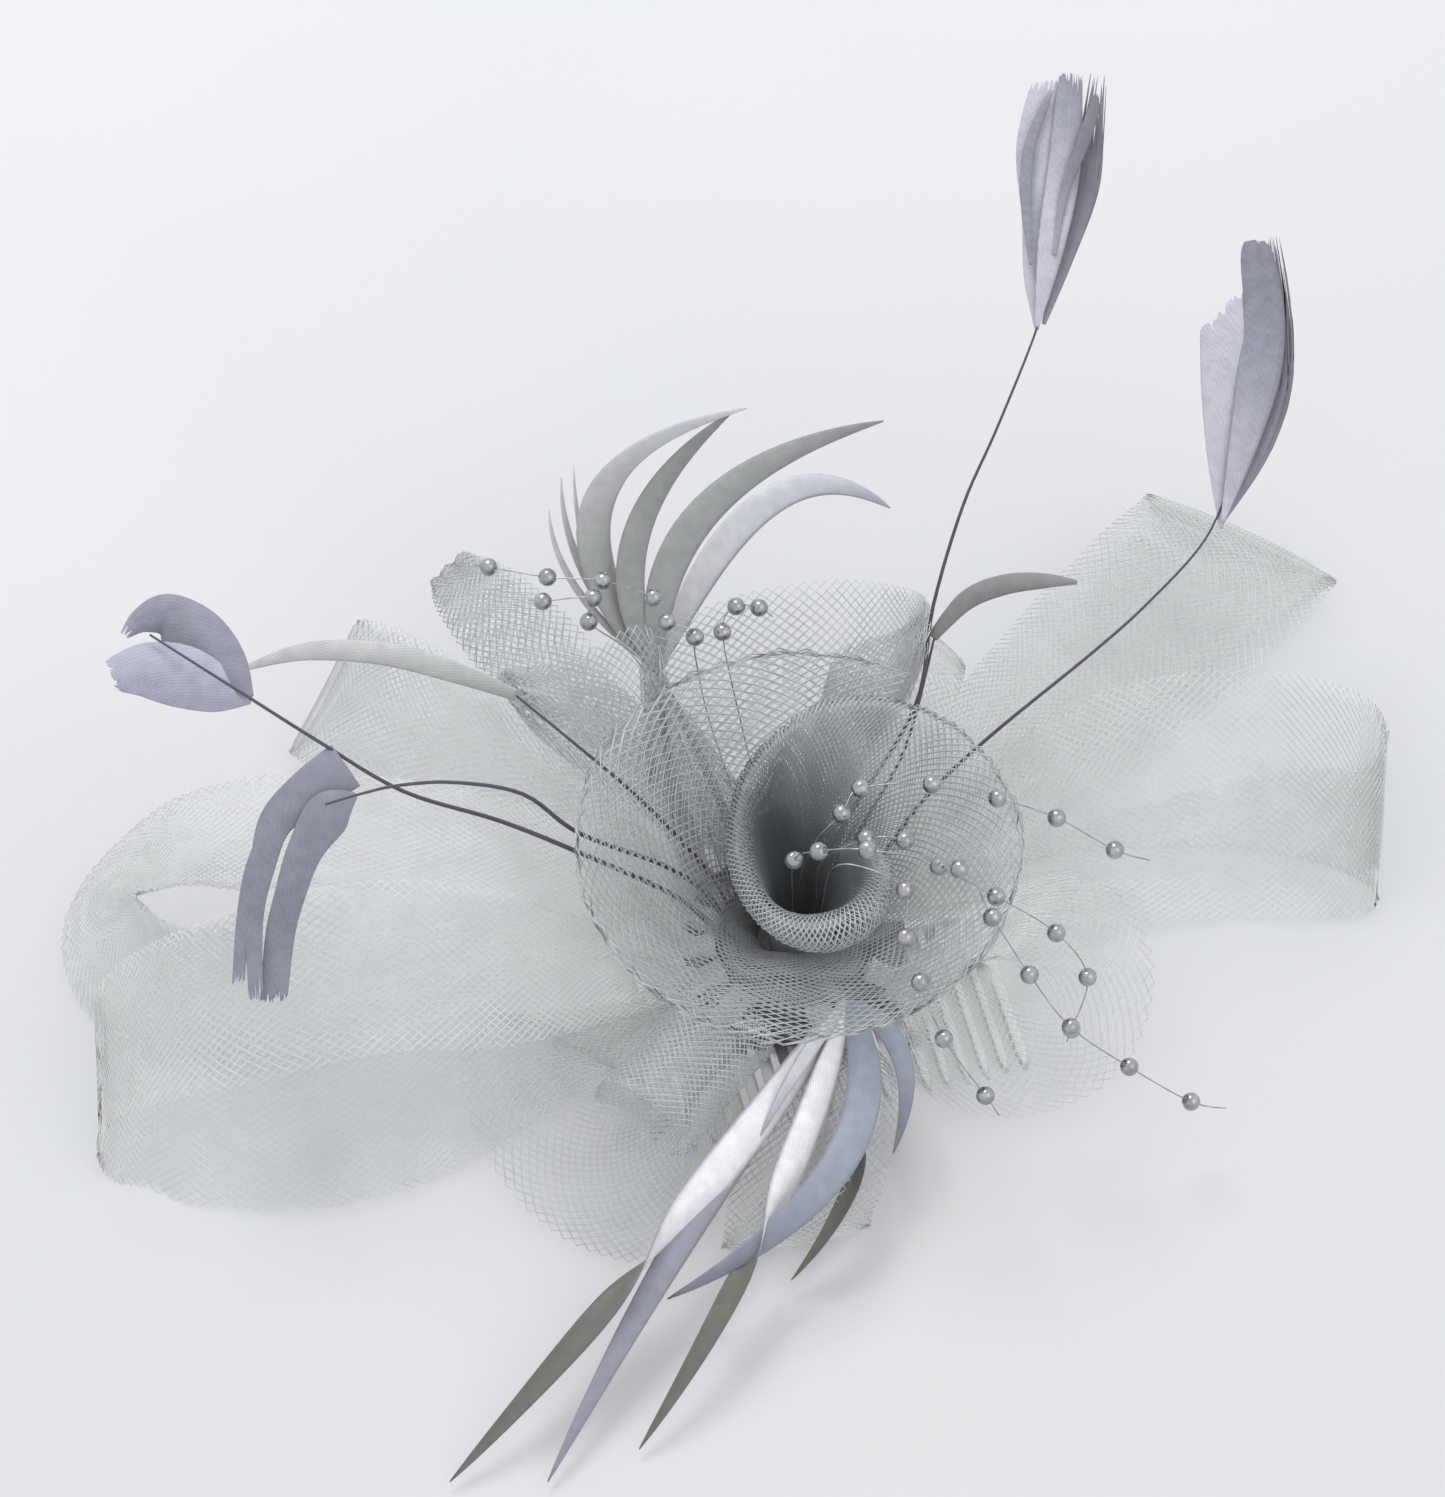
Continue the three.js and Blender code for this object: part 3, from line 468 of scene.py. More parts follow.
@dataclass(frozen=True)
class DyedFeather:
    """Dyed goose feather: barbs lie side by side, so fine lines run off the shaft and shine softly.

    Attributes:
        barb: distance between barb lines in millimetres. Those of a real feather stand 0.3 mm apart or
            closer; these are wider so that they show.
        slant: angle of the lines in degrees.
        line: how dark the lines are, as a grey.
        worn: how dark worn patches are, as a grey.
    """

    name: str
    barb: float
    slant: float
    roughness: float
    line: str = "#f0f0f2"
    worn: str = "#ededef"
    patch: float = 1 / 0.35

    def material(self) -> bpy.types.Material:
        """Build the material: tint comes from the piece, barb lines from its UV map in millimetres.

        Returns:
            The material.
        """
        settings = {"Roughness": self.roughness, "Sheen Weight": 0.25, "Specular IOR Level": 0.35}
        made = Recipe(self.name, settings)
        tint = made.add("ShaderNodeAttribute", {"attribute_name": "tint"}).outputs["Color"]
        lay = made.add("ShaderNodeUVMap").outputs[0]
        turn = {"Rotation": (0, 0, math.radians(self.slant))}
        turned = made.add("ShaderNodeMapping", turn, {"Vector": lay}).outputs[0]
        bands = {"bands_direction": "Y", "Scale": math.pi / (10 * self.barb), "Distortion": 1.2}
        wave = made.add("ShaderNodeTexWave", bands, {"Vector": turned}).outputs["Fac"]
        lined = made.multiply(tint, made.ramp(wave, self.line, "#ffffff", 0.0, 0.6))
        patches = made.ramp(made.noise(self.patch, 3.0), self.worn, "#ffffff")
        made.colour(made.multiply(lined, patches))
        made.bump(wave, 0.2, 0.12)
        return made.material


@dataclass(frozen=True)
class StudioCard:
    """Painted board of the studio floor: matt and nearly white, with a faint drift of tone."""

    light: str = "#d0d1d2"
    dark: str = "#cbcdce"
    drift: float = 260.0

    def material(self) -> bpy.types.Material:
        """Build the material.

        Returns:
            The material.
        """
        made = Recipe("studio_card", {"Roughness": 0.7, "Specular IOR Level": 0.25})
        made.colour(made.ramp(made.noise(self.drift, 2.0), self.dark, self.light))
        return made.material


# Net: real threads wound round flattened tubes


class Held(Enum):
    """How a band of net is held."""

    GATHERED = "gathered"
    FOLDED = "folded"


@dataclass(frozen=True)
class Weave:
    """The braid of the net, in millimetres: threads wind both ways round a flattened tube at 45 degrees.

    Attributes:
        step: distance between a thread's points.
        over: how far threads that cross keep apart.
        belly: half the distance between the tube's layers in its middle.
        wave: height of the longest soft wave.
        waves: lengths of the soft waves, from the longest.
        pleat: height of the pleats where the band is gathered.
        pleats: how many half pleats lie across the band.
        stagger: how far the two ways of winding are shifted, in spacings.
        clear: how near an edge a thread has no other point, in steps.
    """

    spacing: float = 1.25
    radius: float = 0.104
    step: float = 3.2
    over: float = 0.14
    belly: float = 0.7
    wave: float = 0.7
    waves: tuple[float, ...] = (70.0, 37.0, 23.0)
    pleat: float = 1.3
    pleats: float = 2.5
    stagger: float = 0.25
    clear: float = 0.35


# Points along and across the surface that a net lies on.
STATIONS = 260
ACROSS = 33


@dataclass
class Net:
    """A flattened tube of net over a surface.

    Attributes:
        name: the CAD node that it stands for.
        width: the tube's lay-flat width in millimetres.
        held: how it is held; not used.
        seed: start of its random draws.
        weave: how it is braided.
    """

    name: str
    width: float
    held: Held
    seed: int
    weave: Weave

    def surface(self) -> tuple[np.ndarray, np.ndarray]:
        """Give points along and across the band in millimetres, and how gathered each row is."""
        raise NotImplementedError

    def guide(self) -> int:
        """Give the column along which the band's length is measured."""
        return ACROSS // 2

    def belly(self, across: np.ndarray) -> np.ndarray:
        """Give half the distance between the tube's two layers at places from -1 to 1 across it."""
        return self.weave.belly * np.sqrt(np.clip(1 - across**2, 0, 1))

    def rippled(self) -> tuple[np.ndarray, np.ndarray, float]:
        """Add pleats where the band is gathered, and soft waves all over.

        Returns:
            The points, their normals and the band's length in millimetres.
        """
        points, gather = self.surface()
        weave, rng = self.weave, random.Random(self.seed)
        run = distances(points[:, self.guide()])
        across = np.linspace(-1, 1, points.shape[1])[None, :]
        normals = self.normals(points)
        pleats = math.pi * weave.pleats * across + rng.uniform(0, 6)
        lift = weave.pleat * gather[:, None] * np.sin(pleats)
        fade = np.sin(math.pi * np.linspace(0, 1, len(points)))[:, None] ** 0.5
        for length in weave.waves:
            phase, slant = rng.uniform(0, 6.28), rng.uniform(-1.5, 1.5)
            size = weave.wave * (length / weave.waves[0]) ** 0.7
            lift = lift + fade * size * np.sin(2 * math.pi * run[:, None] / length + slant * across + phase)
        points = points + normals * lift[..., None]
        return points, self.normals(points), float(run[-1])

    @staticmethod
    def normals(points: np.ndarray) -> np.ndarray:
        """Give the unit normal at each point of a grid."""
        return unit(np.cross(np.gradient(points, axis=0), np.gradient(points, axis=1)))

    def threads(self) -> tuple[np.ndarray, np.ndarray, float]:
        """Wind the threads.

        Returns:
            Vertices in millimetres, faces as rows of four, and the band's length.
        """
        points, normals, length = self.rippled()
        along, across = points.shape[0] - 1, points.shape[1] - 1
        round_it = 2 * self.width
        count = round(round_it * math.sin(math.pi / 4) / self.weave.spacing)
        vertices, faces, total = [], [], 0
        for way in (1, -1):
            for k in range(count):
                start = (k + self.weave.stagger * way) * round_it / count
                run = self.places(start, way, length)
                wound = np.mod(start + way * run, round_it)
                top = wound < self.width
                v = np.where(top, 2 * wound / self.width - 1, 3 - 2 * wound / self.width)
                layer = np.where(top, 1.0, -1.0)
                i, j = run / length * along, (v + 1) / 2 * across
                at, normal = self.blend(points, i, j), unit(self.blend(normals, i, j))
                out = layer * (self.belly(v) + way * self.weave.over / 2 + self.weave.over)
                ring, mesh = self.thread(at + normal * out[:, None], normal)
                vertices.append(ring)
                faces.append(mesh + total)
                total += len(ring)
        return np.concatenate(vertices), np.concatenate(faces), length

    def places(self, start: float, way: int, length: float) -> np.ndarray:
        """Give the places along the band where a thread has a point: even steps and turns at the edges.

        Args:
            start: where on the tube's girth the thread begins.
            way: 1 or -1, which way it winds.
            length: the band's length.

        Returns:
            Distances along the band.
        """
        even = np.linspace(0, length, max(int(length / self.weave.step), 2) + 1)
        first = (-start * way) % self.width
        turns = np.arange(first, length, self.width)
        if len(turns):
            near = np.abs(even[:, None] - turns[None, :]).min(axis=1) < self.weave.clear * self.weave.step
            near[[0, -1]] = False
            even = np.concatenate([even[~near], turns])
        return np.unique(np.round(even, 6))

    @staticmethod
    def blend(grid: np.ndarray, i: np.ndarray, j: np.ndarray) -> np.ndarray:
        """Read a grid between its points.

        Args:
            grid: values by row and column.
            i: places along its rows.
            j: places along its columns.

        Returns:
            The values.
        """
        i0 = np.clip(i.astype(int), 0, grid.shape[0] - 2)
        j0 = np.clip(j.astype(int), 0, grid.shape[1] - 2)
        a, b = (i - i0)[:, None], (j - j0)[:, None]
        near = grid[i0, j0] * (1 - b) + grid[i0, j0 + 1] * b
        far = grid[i0 + 1, j0] * (1 - b) + grid[i0 + 1, j0 + 1] * b
        return near * (1 - a) + far * a

    def thread(self, line: np.ndarray, normal: np.ndarray) -> tuple[np.ndarray, np.ndarray]:
        """Make one closed thread of three sides.

        Args:
            line: its middle line.
            normal: the net's normal at each point of it.

        Returns:
            Vertices and faces; an end face repeats its last corner.
        """
        ahead = unit(np.gradient(line, axis=0))
        side = unit(np.cross(ahead, normal))
        up = np.cross(side, ahead)
        corners = [
            line + self.weave.radius * (math.cos(a) * up + math.sin(a) * side)
            for a in (0, 2 * math.pi / 3, 4 * math.pi / 3)
        ]
        ring = np.stack(corners, axis=1).reshape(-1, 3)
        at = 3 * np.arange(len(line) - 1)
        sides = ((0, 1), (1, 2), (2, 0))
        walls = [np.stack([at + a, at + b, at + 3 + b, at + 3 + a], axis=1) for a, b in sides]
        last = 3 * (len(line) - 1)
        ends = np.array([[2, 1, 0, 0], [last, last + 1, last + 2, last + 2]])
        return ring, np.concatenate([*walls, ends])

    def build(self, material: bpy.types.Material) -> bpy.types.Object:
        """Its clear threads let the light by.

        Args:
            material: the net's material.

        Returns:
            The object.
        """
        vertices, faces, length = self.threads()
        name = f"net_{self.name}"
        mesh = bpy.data.meshes.new(name)
        walls = faces[faces[:, 2] != faces[:, 3]]
        ends = faces[faces[:, 2] == faces[:, 3]][:, :3]
        mesh.vertices.add(len(vertices))
        mesh.vertices.foreach_set("co", (vertices * MM).ravel())
        mesh.loops.add(4 * len(walls) + 3 * len(ends))
        mesh.loops.foreach_set("vertex_index", np.concatenate([walls.ravel(), ends.ravel()]))
        mesh.polygons.add(len(walls) + len(ends))
        starts = np.concatenate([4 * np.arange(len(walls)), 4 * len(walls) + 3 * np.arange(len(ends))])
        mesh.polygons.foreach_set("loop_start", starts)
        mesh.update(calc_edges=True)
        mesh.validate()
        mesh.shade_smooth()
        piece = put(name, mesh)
        dress(piece, material, "net", self.name)
        piece.visible_shadow = False
        log.info("%s: laid flat %.1f by %.0f mm", name, self.width, length)
        return piece


# The felt base, the roots on it and the reach of the spray, in millimetres, as in the solids.
SPINE_THICK = 3.2
DISC_RADIUS = 25.0
DISC_THICK = 2.0
DISC_TOP = SPINE_THICK + GAP + DISC_THICK
BAND_WIDTH = 40.0
WALL = 1.0
CROWN = 1.2
SPRAY_REACH = 155.0
SPRAY_RISE = 40.0
PLUME_REACH = 160.0
PLUME_RISE = 108.0
ROOT_RING = 21.0
ROOT_WIDTH = 5.4
ROOT_TAB = 3.3
FLOWER_FOOT = 12.0


@dataclass
class Loop(Net):
    """A band of net that leaves the disc, turns over and comes back to it.

    Attributes:
        root: angle of its root round the disc in degrees, or None where it has none.
        reach: its reach as a share of the spray's.
        rise: its height as a share of the spray's.
        rows: right and back as shares of reach, up as a share of rise, width as a share of the band's,
            and the heading and slope of its width in degrees.
    """

    root: float | None
    reach: float
    rise: float
    rows: tuple[tuple[float, ...], ...]

    def tab(self, layer: int, near: float) -> list[list[float]]:
        """Give the two rows of the root tab: layer 1 is the upper end and 0 the lower.

        Args:
            layer: which end.
            near: the heading of the band's nearest row.

        Returns:
            Two rows, from the inside out.
        """
        turn = min((self.root + quarter for quarter in (-270, -90, 90, 270)), key=lambda t: abs(t - near))
        up = DISC_TOP + GAP + WALL / 2 + layer * (WALL + GAP)
        rows = []
        for ring in (ROOT_RING - ROOT_TAB, ROOT_RING + ROOT_TAB):
            x, y, _ = heading(self.root, 0) * ring
            rows.append([x, y, up, ROOT_WIDTH, turn, 0])
        return rows

    def all_rows(self) -> np.ndarray:
        """Give every row of the band.

        Returns:
            Rows in millimetres and degrees, with those of the root tab.
        """
        reach, rise = self.reach * SPRAY_REACH, self.rise * SPRAY_RISE
        scale = np.array([reach, reach, rise, BAND_WIDTH, 1, 1])
        rows = [list(np.array(row) * scale) for row in self.rows]
        if self.root is not None:
            rows = [*self.tab(1, rows[0][4]), *rows, *reversed(self.tab(0, rows[-1][4]))]
        return np.array(rows)

    def surface(self) -> tuple[np.ndarray, np.ndarray]:
        """Give the band's middle surface.

        Returns:
            Points along and across it in millimetres, and how gathered each row is.
        """
        rows = self.all_rows()
        values = through(rows, np.linspace(0, 1, STATIONS))
        centre, width, turn, tilt = values[:, :3].copy(), values[:, 3], values[:, 4], values[:, 5]
        if self.root is not None:
            tab = np.where(np.arange(STATIONS) < STATIONS / 2, rows[0, 2], rows[-1, 2])
            on_disc = np.hypot(centre[:, 0], centre[:, 1]) < DISC_RADIUS + WALL
            centre[:, 2] = np.where(on_disc, np.maximum(centre[:, 2], tab), centre[:, 2])
        spread = heading(turn, tilt) * (width / 2)[:, None]
        lift = unit(np.cross(np.gradient(centre, axis=0), spread)) * (CROWN * width / BAND_WIDTH)[:, None]
        across = np.linspace(-1, 1, ACROSS)[None, :, None]
        points = centre[:, None] + spread[:, None] * across + lift[:, None] * (1 - across**2)
        return points, np.clip(1 - width / self.width, 0, 0.6)


@dataclass
class Flower(Net):
    """The band rolled up into the flower, in millimetres.

    Attributes:
        start: heading of the roll's outer end in degrees.
        roll_right, roll_back: where the axis of the inner roll lies.
        foot_shift: the share of this that the foot moves.
        flare: how much more the wall opens near the rim.
        roll_over: how far the rim's lip rolls over, in degrees.
        guide_at: share of the height where the band's length is measured.
        rows: angle of the roll in degrees; shares of the rim's radius, the foot's radius and the height;
            share of the move to the inner axis; radius of the lip.
    """

    rim_radius: float = 47.0
    foot_radius: float = 9.5
    height: float = 44.0
    start: float = 60.0
    roll_right: float = 3.0
    roll_back: float = -11.0
    foot_shift: float = 0.25
    flare: float = 2.1
    roll_over: float = 210.0
    wall_points: int = 24
    lip_points: int = 10
    guide_at: float = 0.8
    rows: tuple[tuple[float, ...], ...] = (
        (0, 1.03, 1, 1, 0, 0.8),
        (120, 1, 0.95, 1, 0, 0.8),
        (240, 1, 0.9, 0.98, 0, 0.8),
        (330, 0.97, 0.86, 1.02, 0, 0.8),
        (375, 0.74, 0.8, 1.12, 0.2, 1.2),
        (420, 0.42, 0.72, 1.2, 0.6, 2.0),
        (480, 0.265, 0.62, 1.22, 1, 3.0),
        (570, 0.235, 0.55, 1.12, 1, 3.6),
        (660, 0.27, 0.48, 1.17, 1, 2.2),
        (700, 0.17, 0.42, 1.14, 1, 0.9),
    )

    def guide(self) -> int:
        """Measure near the rim: the net lies open there and is gathered at the foot."""
        return int(self.guide_at * ACROSS)

    def surface(self) -> tuple[np.ndarray, np.ndarray]:
        """Give the roll's middle surface, from the foot to the rim's lip.

        Returns:
            Points along and up it in millimetres, and how gathered each row is.
        """
        values = through(np.array(self.rows, float), np.linspace(0, 1, STATIONS))
        s = np.linspace(0, 1, self.wall_points)
        grid = np.zeros((STATIONS, ACROSS, 3))
        bent = np.radians(np.linspace(0, self.roll_over, self.lip_points))[1:]
        for k, (at, rim, foot, up, shift, lip) in enumerate(values):
            outer, inner, high = rim * self.rim_radius, foot * self.foot_radius, self.height * up
            climb = math.atan2(high, (outer - inner) * self.flare)
            over = outer + lip * (np.sin(climb) - np.sin(climb - bent))
            fall = high + lip * (np.cos(climb - bent) - np.cos(climb))
            radius = np.append(inner + (outer - inner) * s**self.flare, over)
            level = DISC_TOP + GAP + np.append(high * s, fall)
            moved = shift * (self.foot_shift + (1 - self.foot_shift) * np.append(s, np.ones(len(bent))))
            away = np.radians(self.start + at)
            x = self.roll_right * moved + radius * np.cos(away)
            y = self.roll_back * moved + radius * np.sin(away)
            line = np.stack([x, y, level], axis=1)
            run = distances(line)
            even = np.linspace(0, run[-1], ACROSS)
            grid[k] = np.stack([np.interp(even, run, line[:, axis]) for axis in range(3)], axis=1)
        return grid, np.zeros(STATIONS)


LOOPS = (
    ("loop_left_front", 206, 0.968, 1, (
        (-0.27, -0.1, 0.5, 0.55, 98, 30), (-0.42, -0.13, 0.72, 0.85, 94, 38),
        (-0.6, -0.14, 0.8, 0.95, 91, 40), (-0.82, -0.19, 0.74, 0.96, 90, 43),
        (-0.95, -0.22, 0.6, 0.88, 88, 44), (-1, -0.255, 0.4, 0.84, 88, 38),
        (-0.95, -0.29, 0.2, 0.84, 88, 28), (-0.74, -0.31, 0.12, 0.88, 92, 10),
        (-0.53, -0.27, 0.1, 0.85, 90, 6), (-0.34, -0.18, 0.12, 0.55, 102, 2),
        (-0.23, -0.115, 0.12, 0.28, 114, 0),
    )),
    ("loop_left", 184, 1, 1, (
        (-0.25, 0.035, 0.48, 0.5, 100, 0), (-0.36, 0.065, 0.64, 0.75, 97, -10),
        (-0.5, 0.08, 0.72, 0.85, 94, -14), (-0.7, 0.09, 0.77, 1, 94, -20),
        (-0.84, 0.085, 0.75, 1.05, 97, -28), (-0.93, 0.05, 0.65, 1.05, 112, -42),
        (-0.975, -0.01, 0.54, 1.05, 150, -56), (-0.95, -0.08, 0.47, 1, 198, -60),
        (-0.88, -0.12, 0.415, 0.88, 236, -56), (-0.72, -0.125, 0.36, 0.75, 256, -46),
        (-0.54, -0.085, 0.3, 0.58, 262, -32), (-0.34, -0.01, 0.28, 0.45, 268, -10),
        (-0.22, -0.01, 0.22, 0.25, 272, 0),
    )),
    ("loop_left_back", 163, 0.761, 1, (
        (-0.32, 0.15, 0.36, 0.5, 76, 25), (-0.46, 0.24, 0.48, 0.7, 74, 38),
        (-0.66, 0.35, 0.57, 0.83, 71, 48), (-0.83, 0.44, 0.56, 0.95, 50, 53),
        (-0.9, 0.5, 0.47, 0.95, 44, 52), (-0.82, 0.51, 0.38, 0.85, 50, 48),
        (-0.64, 0.42, 0.32, 0.75, 71, 40), (-0.4, 0.26, 0.22, 0.45, 80, 12),
    )),
    ("loop_left_top", 145, 0.426, 1, (
        (-0.42, 0.42, 0.68, 0.45, 95, 40), (-0.46, 0.64, 0.98, 0.8, 97, 45),
        (-0.68, 0.63, 1.02, 0.56, 100, 45), (-0.88, 0.66, 1.04, 0.24, 100, 45),
        (-0.97, 0.69, 1.04, 0.1, 100, 45), (-0.86, 0.6, 0.9, 0.24, 98, 40),
        (-0.66, 0.54, 0.78, 0.45, 95, 38), (-0.43, 0.42, 0.5, 0.4, 90, 30),
    )),
    ("loop_back_left", 121, 0.645, 1, (
        (-0.23, 0.31, 0.33, 0.36, 30, 5), (-0.42, 0.44, 0.56, 0.5, 24, 14),
        (-0.57, 0.58, 0.78, 0.58, 22, 24), (-0.69, 0.69, 0.95, 0.52, 24, 30),
        (-0.76, 0.76, 1, 0.3, 26, 32), (-0.77, 0.79, 0.9, 0.3, 26, 32),
        (-0.72, 0.76, 0.72, 0.46, 24, 28), (-0.56, 0.62, 0.46, 0.5, 24, 15),
        (-0.33, 0.46, 0.29, 0.35, 30, 5),
    )),
    ("loop_back", 84, 0.426, 1.35, (
        (-0.3, 0.5, 0.42, 0.5, 96, 40), (-0.5, 0.64, 0.62, 0.75, 94, 46),
        (-0.2, 0.73, 0.7, 0.95, 92, 48), (0.15, 0.76, 0.74, 1, 90, 48),
        (0.36, 0.8, 0.79, 0.72, 88, 48), (0.43, 0.86, 0.87, 0.25, 86, 48),
        (0.34, 0.76, 0.7, 0.5, 86, 46), (0.14, 0.66, 0.54, 0.75, 90, 44),
        (0.06, 0.5, 0.36, 0.5, 92, 30),
    )),
    ("loop_back_right", 64, 0.477, 0.65, (
        (0.3, 0.5, 0.6, 0.36, -26, 0), (0.38, 0.74, 0.85, 0.42, -30, -10),
        (0.42, 0.86, 1, 0.42, -38, -20), (0.44, 0.92, 0.9, 0.42, -38, -20),
        (0.42, 0.88, 0.66, 0.42, -34, -12), (0.32, 0.66, 0.38, 0.38, -28, 0),
    )),
    ("loop_right_back", 42, 0.955, 1, (
        (0.28, 0.3, 0.37, 0.6, 125, 12), (0.41, 0.41, 0.45, 0.85, 140, 14),
        (0.54, 0.53, 0.45, 1.05, 152, 14), (0.68, 0.67, 0.37, 1.2, 160, 14),
        (0.71, 0.71, 0.28, 1.2, 160, 13), (0.69, 0.68, 0.17, 1.15, 159, 11),
        (0.57, 0.54, 0.12, 1.1, 158, 6), (0.41, 0.37, 0.13, 0.8, 140, 5),
        (0.27, 0.25, 0.15, 0.5, 128, 2),
    )),
    ("loop_right", 20, 0.865, 1, (
        (0.33, 0.16, 0.5, 0.55, 105, 25), (0.43, 0.21, 0.67, 0.78, 101, 38),
        (0.6, 0.23, 0.77, 0.97, 99, 44), (0.78, 0.24, 0.73, 1.05, 96, 47),
        (0.92, 0.22, 0.62, 1.07, 91, 48), (0.97, 0.185, 0.48, 1, 88, 48),
        (0.93, 0.155, 0.37, 0.9, 90, 46), (0.8, 0.155, 0.35, 0.85, 93, 44),
        (0.58, 0.125, 0.29, 0.7, 98, 38), (0.36, 0.1, 0.22, 0.45, 104, 18),
    )),
    ("loop_front_right", 335, 0.503, 0.5, (
        (0.42, -0.08, 0.6, 0.5, 68, 0), (0.57, 0, 0.66, 0.8, 55, 0),
        (0.69, -0.02, 0.78, 0.95, 34, -2), (0.75, -0.14, 0.8, 1, 2, -8),
        (0.71, -0.28, 0.62, 0.98, -34, -10), (0.59, -0.34, 0.46, 0.9, -64, -8),
        (0.45, -0.34, 0.36, 0.8, -84, -4), (0.33, -0.27, 0.36, 0.5, -104, 0),
    )),
    ("loop_front", 286, 0.49, 0.5, (
        (0.14, -0.43, 0.72, 0.45, -8, 0), (0.11, -0.6, 0.8, 0.65, -4, 0),
        (0.04, -0.8, 0.66, 0.82, 3, 0), (0, -0.93, 0.4, 0.8, 8, 0),
        (0, -0.92, 0.18, 0.8, 8, 0), (0.05, -0.68, 0.24, 0.7, 2, 0),
        (0.12, -0.43, 0.3, 0.45, -4, 0),
    )),
    ("loop_front_left", 231, 0.548, 0.5, (
        (-0.34, -0.27, 0.44, 0.46, 134, 0), (-0.5, -0.34, 0.45, 0.8, 146, 2),
        (-0.62, -0.35, 0.62, 0.9, 162, 6), (-0.63, -0.46, 0.56, 0.95, 184, 4),
        (-0.54, -0.6, 0.36, 0.95, 216, -2), (-0.42, -0.67, 0.2, 0.95, 244, -3),
        (-0.29, -0.66, 0.16, 0.9, 266, -2), (-0.22, -0.52, 0.2, 0.6, 300, 0),
        (-0.2, -0.36, 0.26, 0.3, 318, 0),
    )),
    ("curl", None, 0.297, 0.825, (
        (-0.41, -0.8, 0.27, 0.98, 233, 6), (-0.6, -0.73, 0.36, 0.76, 233, 4),
        (-0.72, -0.7, 0.56, 0.84, 233, 0), (-0.67, -0.75, 0.86, 0.8, 233, 0),
        (-0.52, -0.86, 1, 0.8, 233, 0), (-0.36, -0.96, 0.86, 0.8, 233, 0),
        (-0.32, -1, 0.58, 0.8, 233, 0), (-0.38, -0.96, 0.42, 0.8, 233, 2),
    )),
)


@dataclass
class NetWork:
    """All the net of the piece: the flower, its loops and the curl. The flower and the loops in shade get
    darker copies of the nylon as painted shade.
    """

    finish: NylonNet = NylonNet()
    # Darker copies of the same nylon, as painted shade: the first for the loops that lie in shade, the
    # second for the many-layered flower.
    soft: NylonNet = NylonNet(light="#d2d5d6", dark="#c3c7c8")
    deep: NylonNet = NylonNet(light="#bfc3c4", dark="#a9adae", throat_shade="#5d6264")
    weave: Weave = Weave()
    close: Weave = Weave(radius=0.145, step=2.3)
    shaded: tuple[str, ...] = ("loop_back", "loop_back_left", "loop_left_top", "loop_front_left", "curl")
    flower_width: float = 57.0
    flower_seed: int = 5
    first_seed: int = 11

    def build(self) -> None:
        """Make every band of net."""
        material, shaded = self.finish.material(), self.soft.material()
        flower = Flower("flower", self.flower_width, Held.FOLDED, self.flower_seed, self.close)
        flower.build(self.deep.material())
        for seed, (name, root, reach, rise, rows) in enumerate(LOOPS, self.first_seed):
            widths = [row[3] for row in rows]
            width = BAND_WIDTH * (max(widths) + 2 * sum(widths) / len(widths)) / 3
            # Loops in shade take the darker copy of the nylon: painted shade.
            look = shaded if name in self.shaded else material
            Loop(name, width, Held.GATHERED, seed, self.weave, root, reach, rise, rows).build(look)


# Comb and felt base


